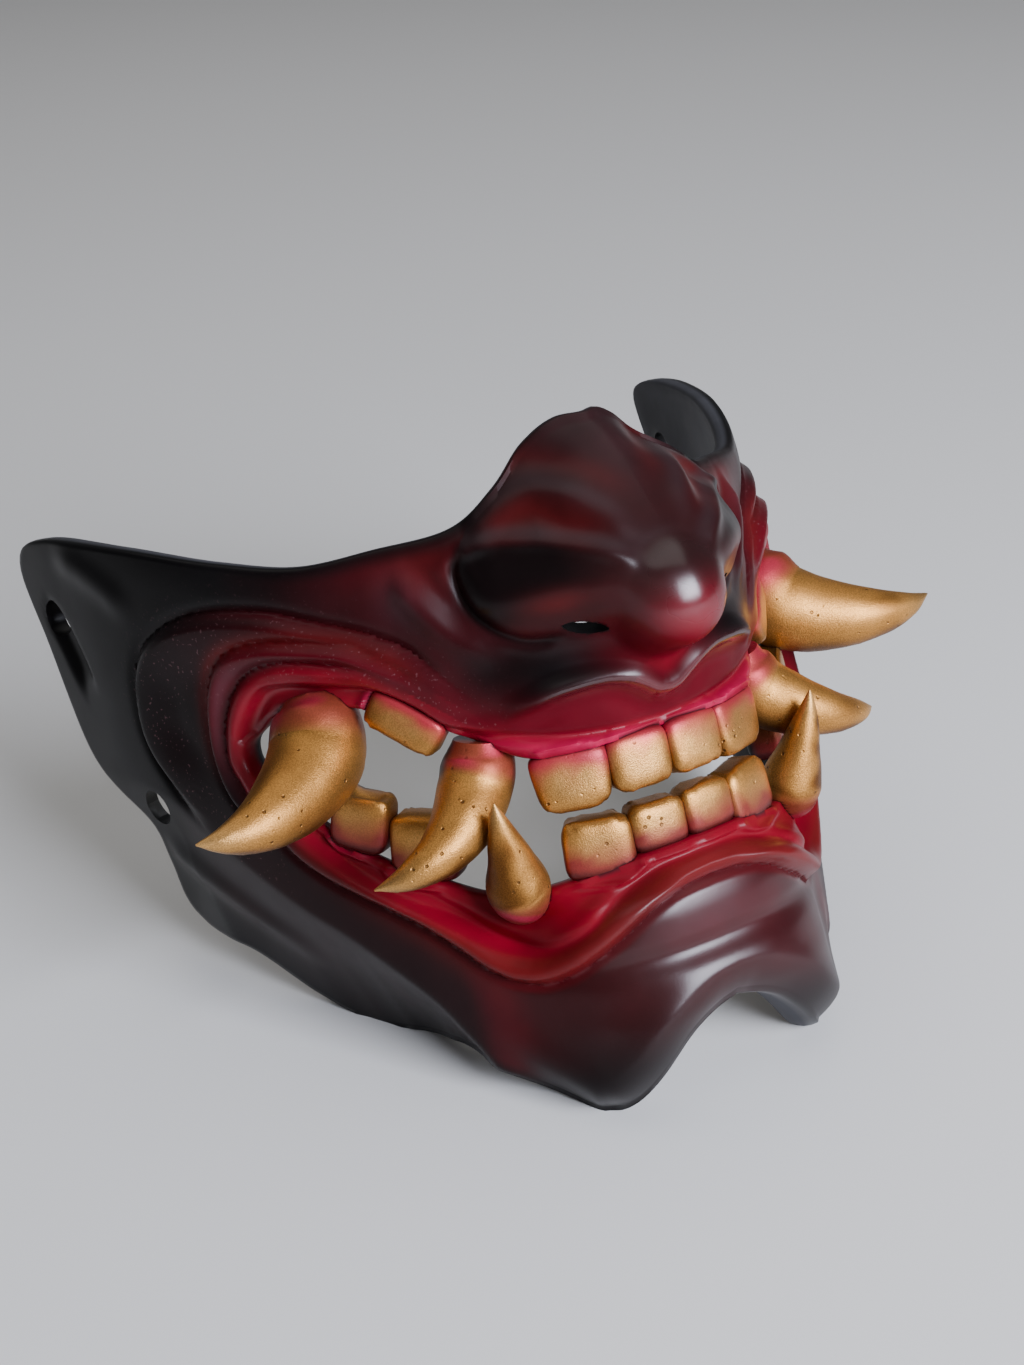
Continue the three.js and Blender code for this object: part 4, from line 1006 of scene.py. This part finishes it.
def tooth_mesh(name, tooth, side, seed):
    """A squared ellipsoid bent round the plan curve, its poles at the front and the back. x runs across
    it, y up and z out, and its biting edge is a little worn."""
    width, height, depth, root = (tooth[key] for key in ("width", "height", "depth", "root"))

    def squared(value):
        """Signed power that squares a circle's sine and cosine."""
        return np.sign(value) * np.abs(value) ** TOOTH_SQUARENESS

    angle = math.pi * ((np.arange(TOOTH_ACROSS) + 0.5) / TOOTH_ACROSS - 0.5)[:, None]
    turn = 2 * math.pi * (np.arange(TOOTH_AROUND)[None] + 0.5) / TOOTH_AROUND
    x = width / 2 * squared(np.cos(angle)) * squared(np.cos(turn))
    y = height / 2 * squared(np.cos(angle)) * squared(np.sin(turn))
    z = depth / 2 * squared(np.sin(angle))
    tip = ease(-y * root, 0.3 * height / 2, height / 2)
    y = y + root * tip * (0.35 * waves(x, z, seed, 3.5) + 0.2 * waves(x, z, seed + 7, 1.2))
    hollow = bump(np.hypot(2 * x / width, 2 * z / depth), TOOTH_CUP)
    y = y + root * tooth.get("cup", 0) * tip * hollow
    x = x * (1 + HAND_WAVINESS * waves(y, z, seed + 1, 5) + tooth["taper"] * y * root / (height / 2))
    a = tooth["a"] + x * math.cos(tooth["tilt"]) - y * math.sin(tooth["tilt"])
    h = tooth["h"] + x * math.sin(tooth["tilt"]) + y * math.cos(tooth["tilt"])
    points = surface(a * side, h, tooth["out"] + z)
    to_root = y * root / (height / 2)
    edge = np.abs(2 * x / width)
    shade = waves(x, y, seed + 2, 7)
    stain_from, stain_to = (0.1, 0.9) if root > 0 else (-0.35, 0.6)
    stain = ease(to_root + 0.2 * shade + 0.25 * edge, stain_from, stain_to)
    behind = ease(-2 * z / depth, 0.35, 0.85)
    gold = (1 - 0.6 * stain) * (1 - behind)
    none = np.zeros(gold.shape)
    paint = tooth_paint(shade, edge, to_root, stain, behind, root > 0)
    return capped(name, points, dict(paint=paint, gold=gold, gloss=none + 0.2, dust=none))


def bore_mesh(name, place, side):
    """A bar through the shell along the normal. point draws its oval section out to a lens. On its way in
    from the stand-off level, rise lifts it and slant carries it towards the ear."""
    a, h, width, height, tilt, point, rise, slant, level = place
    angle = 2 * math.pi * np.arange(BORE_SIDES) / BORE_SIDES
    x = width / 2 * np.cos(angle)
    y = height / 2 * np.sign(np.sin(angle)) * np.abs(np.sin(angle)) ** point
    px, pd, nx, nd = plan(np.array(float(a)))
    out = np.array([-BORE_REACH, BORE_REACH], float)[:, None]
    across = x * math.cos(tilt) - y * math.sin(tilt) + slant * (level - out)
    up = x * math.sin(tilt) + y * math.cos(tilt) + rise * (level - out)
    points = stand(side * (px - nd * across + out * nx), pd + nx * across + out * nd, h + up)
    paint = np.broadcast_to(colour(*HOLE_WALL), points.shape).copy()
    none = np.zeros(points.shape[:2])
    return capped(name, points, dict(paint=paint, gold=none, gloss=none, dust=none))


def as_object(mesh):
    """Puts a mesh into the scene."""
    obj = bpy.data.objects.new(mesh.name, mesh)
    bpy.context.scene.collection.objects.link(obj)
    return obj


def outward(mesh):
    """Turns a closed mesh's faces outwards if its signed volume is negative."""
    mesh.calc_loop_triangles()
    count = len(mesh.loop_triangles)
    index = np.empty(count * 3, int)
    mesh.loop_triangles.foreach_get("vertices", index)
    points = np.empty(len(mesh.vertices) * 3)
    mesh.vertices.foreach_get("co", points)
    corners = points.reshape(-1, 3)[index.reshape(-1, 3)]
    volume = np.einsum("ij,ij->i", corners[:, 0], np.cross(corners[:, 1], corners[:, 2])).sum()
    if volume < 0:
        mesh.flip_normals()
    return mesh


def combine(base, meshes, operation):
    """Joins closed meshes to the base, or cuts them out of it."""
    for mesh in meshes:
        tool = as_object(outward(mesh))
        step = base.modifiers.new(mesh.name, "BOOLEAN")
        step.solver = "MANIFOLD"
        step.operation = operation
        step.object = tool
        bpy.context.view_layer.update()
        baked = bpy.data.meshes.new_from_object(base.evaluated_get(bpy.context.evaluated_depsgraph_get()))
        base.modifiers.clear()
        base.data = baked
        bpy.data.objects.remove(tool)


def paint_seams(mesh, tone):
    """Gives the new points, made where two solids cross, the dark line of a seam."""
    count = len(mesh.vertices)
    known = np.empty(count)
    mesh.attributes["known"].data.foreach_get("value", known)
    paint = np.empty(count * 4)
    mesh.attributes["paint"].data.foreach_get("color", paint)
    paint = paint.reshape(-1, 4)
    paint[known < 0.5, :3] = colour(*tone)
    paint[:, 3] = 1
    mesh.attributes["paint"].data.foreach_set("color", paint.ravel())
    mesh.attributes["known"].data.foreach_set("value", np.ones(count))


def seed_of(seeds, number, side):
    """Seed of one tusk or tooth, different for every piece and side."""
    first, step, left = seeds
    return first + step * number + left * (side > 0)


def build_mask():
    """The casting: shell, tusks and teeth joined into one solid, then the strap holes and nostrils cut."""
    base = as_object(outward(shell_mesh()))
    base.name = "mask_casting"
    added = []
    holes = []
    for side in (1, -1):
        for number, (name, points) in enumerate(TUSKS.items()):
            seed = seed_of(TUSK_SEEDS, number, side)
            added.append(tusk_mesh(f"tusk_{name}_{side}", points, side, seed))
        for number, tooth in enumerate(TEETH):
            seed = seed_of(TOOTH_SEEDS, number, side)
            added.append(tooth_mesh(f"tooth_{number}_{side}", tooth, side, seed))
        for number, (a, h, slant) in enumerate(STRAP_HOLES):
            # The same nine values as the nostril's, for a round hole
            place = (a, h, STRAP_HOLE, STRAP_HOLE, 0, 1, 0, slant, 0)
            holes.append(bore_mesh(f"strap_{number}_{side}", place, side))
        holes.append(bore_mesh(f"nostril_{side}", NOSTRIL, side))
    combine(base, added, "UNION")
    paint_seams(base.data, SEAM)
    combine(base, holes, "DIFFERENCE")
    paint_seams(base.data, BLACK)
    base.data.set_sharp_from_angle(angle=SHARP_CORNER)
    return base


# Paint textures: cells to the metre, then the range of each one's effect
CLOUD_SCALE = 45
SATIN_SCALE = 70
PIT_AREA_SCALE = 130
TEXTURE_SCALE = 320
PIT_SCALE = 420
SPECK_SCALE = 1300
GRAIN_SCALE = 3600
NOISE_ROUGHNESS = 0.55
CLOUD_SHADE = (0.62, 0.88)
GRAIN_SHADE = (0.76, 1.16)
SATIN_ROUGHNESS = (0.33, 0.39)
DUST_TONE = (0.25, 0.12, 0.13, 1)
PIT_TONE = (0.05, 0.02, 0.01, 1)
BUMP_HEIGHT = 0.25 * MM
VARNISH_IOR = 1.45


class Nodes:
    """A short way to write node trees: add a node, set its values, and join it to others."""

    def __init__(self, material):
        material.use_nodes = True
        self.tree = material.node_tree
        self.tree.nodes.clear()

    def add(self, kind, values=None, **settings):
        """Adds a node; a value that is another node's socket is linked, any other is set."""
        node = self.tree.nodes.new(kind)
        for key, value in settings.items():
            setattr(node, key, value)
        for key, value in (values or {}).items():
            if isinstance(value, bpy.types.NodeSocket):
                self.tree.links.new(value, node.inputs[key])
            else:
                node.inputs[key].default_value = value
        return node

    def maths(self, operation, a, b=0.0, c=0.0):
        """A Math node on up to three values."""
        return self.add("ShaderNodeMath", {0: a, 1: b, 2: c}, operation=operation).outputs[0]

    def ramp(self, value, low, high, start=0.0, end=1.0):
        """Smooth step from start at low to end at high."""
        keys = {"Value": value, "From Min": low, "From Max": high, "To Min": start, "To Max": end}
        return self.add("ShaderNodeMapRange", keys, interpolation_type="SMOOTHSTEP").outputs[0]

    def mix(self, factor, a, b, blend_type="MIX"):
        """Mixes two colours, whose sockets are numbers 6 and 7 of the Mix node's inputs."""
        values = {0: factor, 6: a, 7: b}
        return self.add("ShaderNodeMix", values, data_type="RGBA", blend_type=blend_type).outputs[2]

    def shaded(self, tone, grey):
        """A colour times a grey value."""
        shade = self.add("ShaderNodeCombineColor", {0: grey, 1: grey, 2: grey}).outputs[0]
        return self.mix(1.0, tone, shade, "MULTIPLY")


def casting_material():
    """Airbrushed paint over resin, cloudy and satin. The attribute gold turns on a bronze paint with a fine
    metallic grain and small casting pits, gloss a wet varnish, and dust pale specks."""
    material = bpy.data.materials.new("airbrushed_resin")
    n = Nodes(material)
    place = n.add("ShaderNodeTexCoord").outputs["Object"]
    paint = n.add("ShaderNodeAttribute", attribute_name="paint").outputs["Color"]
    gold, gloss, dust = (n.add("ShaderNodeAttribute", attribute_name=name).outputs["Fac"]
                         for name in ("gold", "gloss", "dust"))

    def noise(scale, detail=3.0):
        """Noise on Object coordinates, of about scale cells to the metre."""
        keys = {"Vector": place, "Scale": scale, "Detail": detail, "Roughness": NOISE_ROUGHNESS}
        return n.add("ShaderNodeTexNoise", keys).outputs["Fac"]

    # Colour
    grain = noise(GRAIN_SCALE, 2.0)
    tone = n.shaded(paint, n.ramp(noise(CLOUD_SCALE), 0.3, 0.7, *CLOUD_SHADE))
    speck = n.ramp(noise(SPECK_SCALE, 1.0), 0.66, 0.74)
    dusty = n.maths("MULTIPLY", n.maths("MULTIPLY", speck, dust), 0.45)
    tone = n.mix(dusty, tone, DUST_TONE)
    pits = n.add("ShaderNodeTexVoronoi", {"Vector": place, "Scale": PIT_SCALE}).outputs["Distance"]
    pit = n.maths("MULTIPLY", n.ramp(pits, 0.2, 0.1), n.ramp(noise(PIT_AREA_SCALE, 2.0), 0.52, 0.6))
    gold_pit = n.maths("MULTIPLY", pit, gold)
    tone = n.mix(n.maths("MULTIPLY", gold_pit, 0.7), tone, PIT_TONE)
    tone = n.mix(gold, tone, n.shaded(tone, n.ramp(grain, 0.36, 0.64, *GRAIN_SHADE)))

    # Finish
    satin = n.ramp(noise(SATIN_SCALE), 0.3, 0.7, *SATIN_ROUGHNESS)
    satin = n.maths("ADD", satin, n.maths("MULTIPLY", gloss, -0.15))
    rough = n.maths("MULTIPLY_ADD", gold, 0.07, satin)
    sheen = n.ramp(gloss, -0.4, 1.1, 0.02, 1.0)

    # Relief too fine for the mesh
    texture = n.maths("MULTIPLY", noise(TEXTURE_SCALE), 0.5)
    height = n.maths("ADD", n.maths("MULTIPLY", grain, 0.5), texture)
    height = n.maths("SUBTRACT", height, n.maths("MULTIPLY", gold_pit, 2.0))
    strength = n.maths("MULTIPLY_ADD", gold, 0.5, 0.1)
    keys = {"Height": height, "Strength": strength, "Distance": BUMP_HEIGHT}
    bumped = n.add("ShaderNodeBump", keys).outputs[0]

    shader = n.add("ShaderNodeBsdfPrincipled", {
        "Base Color": tone, "Roughness": rough, "Metallic": n.maths("MULTIPLY", gold, 0.88),
        "Normal": bumped, "Specular IOR Level": sheen, "IOR": VARNISH_IOR})
    n.add("ShaderNodeOutputMaterial", {"Surface": shader.outputs[0]})
    return material


# Studio: the floor's half width, and lights with their place, target, width and height, power and tint
FLOOR_HALF = 4
FLOOR_TONE = (0.72, 0.71, 0.69, 1)
SKY_TONE = (0.88, 0.92, 1, 1)
SKY_STRENGTH = 0.1
LIGHTS = [
    ("window", (0.25, -1.1, 0.66), (0, 0, 0.07), (0.75, 0.62), 38, (0.83, 0.87, 1)),
    ("ceiling", (0.1, 0.5, 1.8), (0, 0.1, 0), (2.2, 2.2), 14, (1, 0.98, 0.95)),
    ("room", (-0.9, -0.7, 0.5), (0, 0, 0.07), (1.2, 1.2), 0.6, (1, 0.95, 0.9))]


def floor_material():
    """Plain matt floor paint."""
    material = bpy.data.materials.new("pale_floor")
    n = Nodes(material)
    shader = n.add("ShaderNodeBsdfPrincipled", {"Base Color": FLOOR_TONE, "Roughness": 0.8})
    n.add("ShaderNodeOutputMaterial", {"Surface": shader.outputs[0]})
    return material


def build_floor():
    """One large square on the plane that the mask stands on."""
    mesh = bpy.data.meshes.new("floor")
    corners = [(x * FLOOR_HALF, y * FLOOR_HALF, 0) for x, y in ((-1, -1), (1, -1), (1, 1), (-1, 1))]
    mesh.from_pydata(corners, [], [(0, 1, 2, 3)])
    floor = as_object(mesh)
    floor.data.materials.append(floor_material())


def placed(x, y, z, at):
    """Matrix of an object at a place, from the directions of its three axes."""
    turn = np.eye(4)
    turn[:3] = np.stack([x, y, z, at], 1)
    return Matrix(turn.tolist())


def build_lights():
    """A pale sky, a broad window light from the front, a soft top light and a faint light from the left."""
    world = bpy.data.worlds.new("soft_sky")
    bpy.context.scene.world = world
    world.use_nodes = True
    background = world.node_tree.nodes["Background"]
    background.inputs["Color"].default_value = SKY_TONE
    background.inputs["Strength"].default_value = SKY_STRENGTH
    for name, at, towards, (width, height), power, tint in LIGHTS:
        light = bpy.data.lights.new(name, "AREA")
        light.shape = "RECTANGLE"
        light.size = width
        light.size_y = height
        light.energy = power
        light.color = tint
        lamp = bpy.data.objects.new(name, light)
        away = np.array(at, float) - np.array(towards, float)
        away /= np.linalg.norm(away)
        right = np.cross((0, 0, 1), away)
        right /= np.linalg.norm(right)
        lamp.matrix_world = placed(right, np.cross(away, right), away, at)
        bpy.context.scene.collection.objects.link(lamp)


def build_camera():
    """The photograph's camera, from its turn, dip and roll."""
    s, c = math.sin(CAMERA_TURN), math.cos(CAMERA_TURN)
    forward = np.array([-s * math.cos(CAMERA_DIP), c * math.cos(CAMERA_DIP), -math.sin(CAMERA_DIP)])
    right = np.array([c, s, 0])
    down = np.cross(forward, right)
    right_rolled = math.cos(CAMERA_ROLL) * right + math.sin(CAMERA_ROLL) * down
    down_rolled = -math.sin(CAMERA_ROLL) * right + math.cos(CAMERA_ROLL) * down
    place = np.array(CAMERA_AT) * MM
    place[1] -= CENTRE_Y * MM
    data = bpy.data.cameras.new("photo_camera")
    data.sensor_fit = "VERTICAL"
    data.sensor_height = CAMERA_SENSOR
    data.lens = CAMERA_LENS
    data.clip_start = CAMERA_NEAR
    camera = bpy.data.objects.new("photo_camera", data)
    camera.matrix_world = placed(right_rolled, -down_rolled, -forward, place)
    bpy.context.scene.collection.objects.link(camera)
    bpy.context.scene.camera = camera


build_camera()
mask = build_mask()
mask.data.materials.clear()
mask.data.materials.append(casting_material())
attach(mask, "root")
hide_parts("mask")
build_floor()
build_lights()
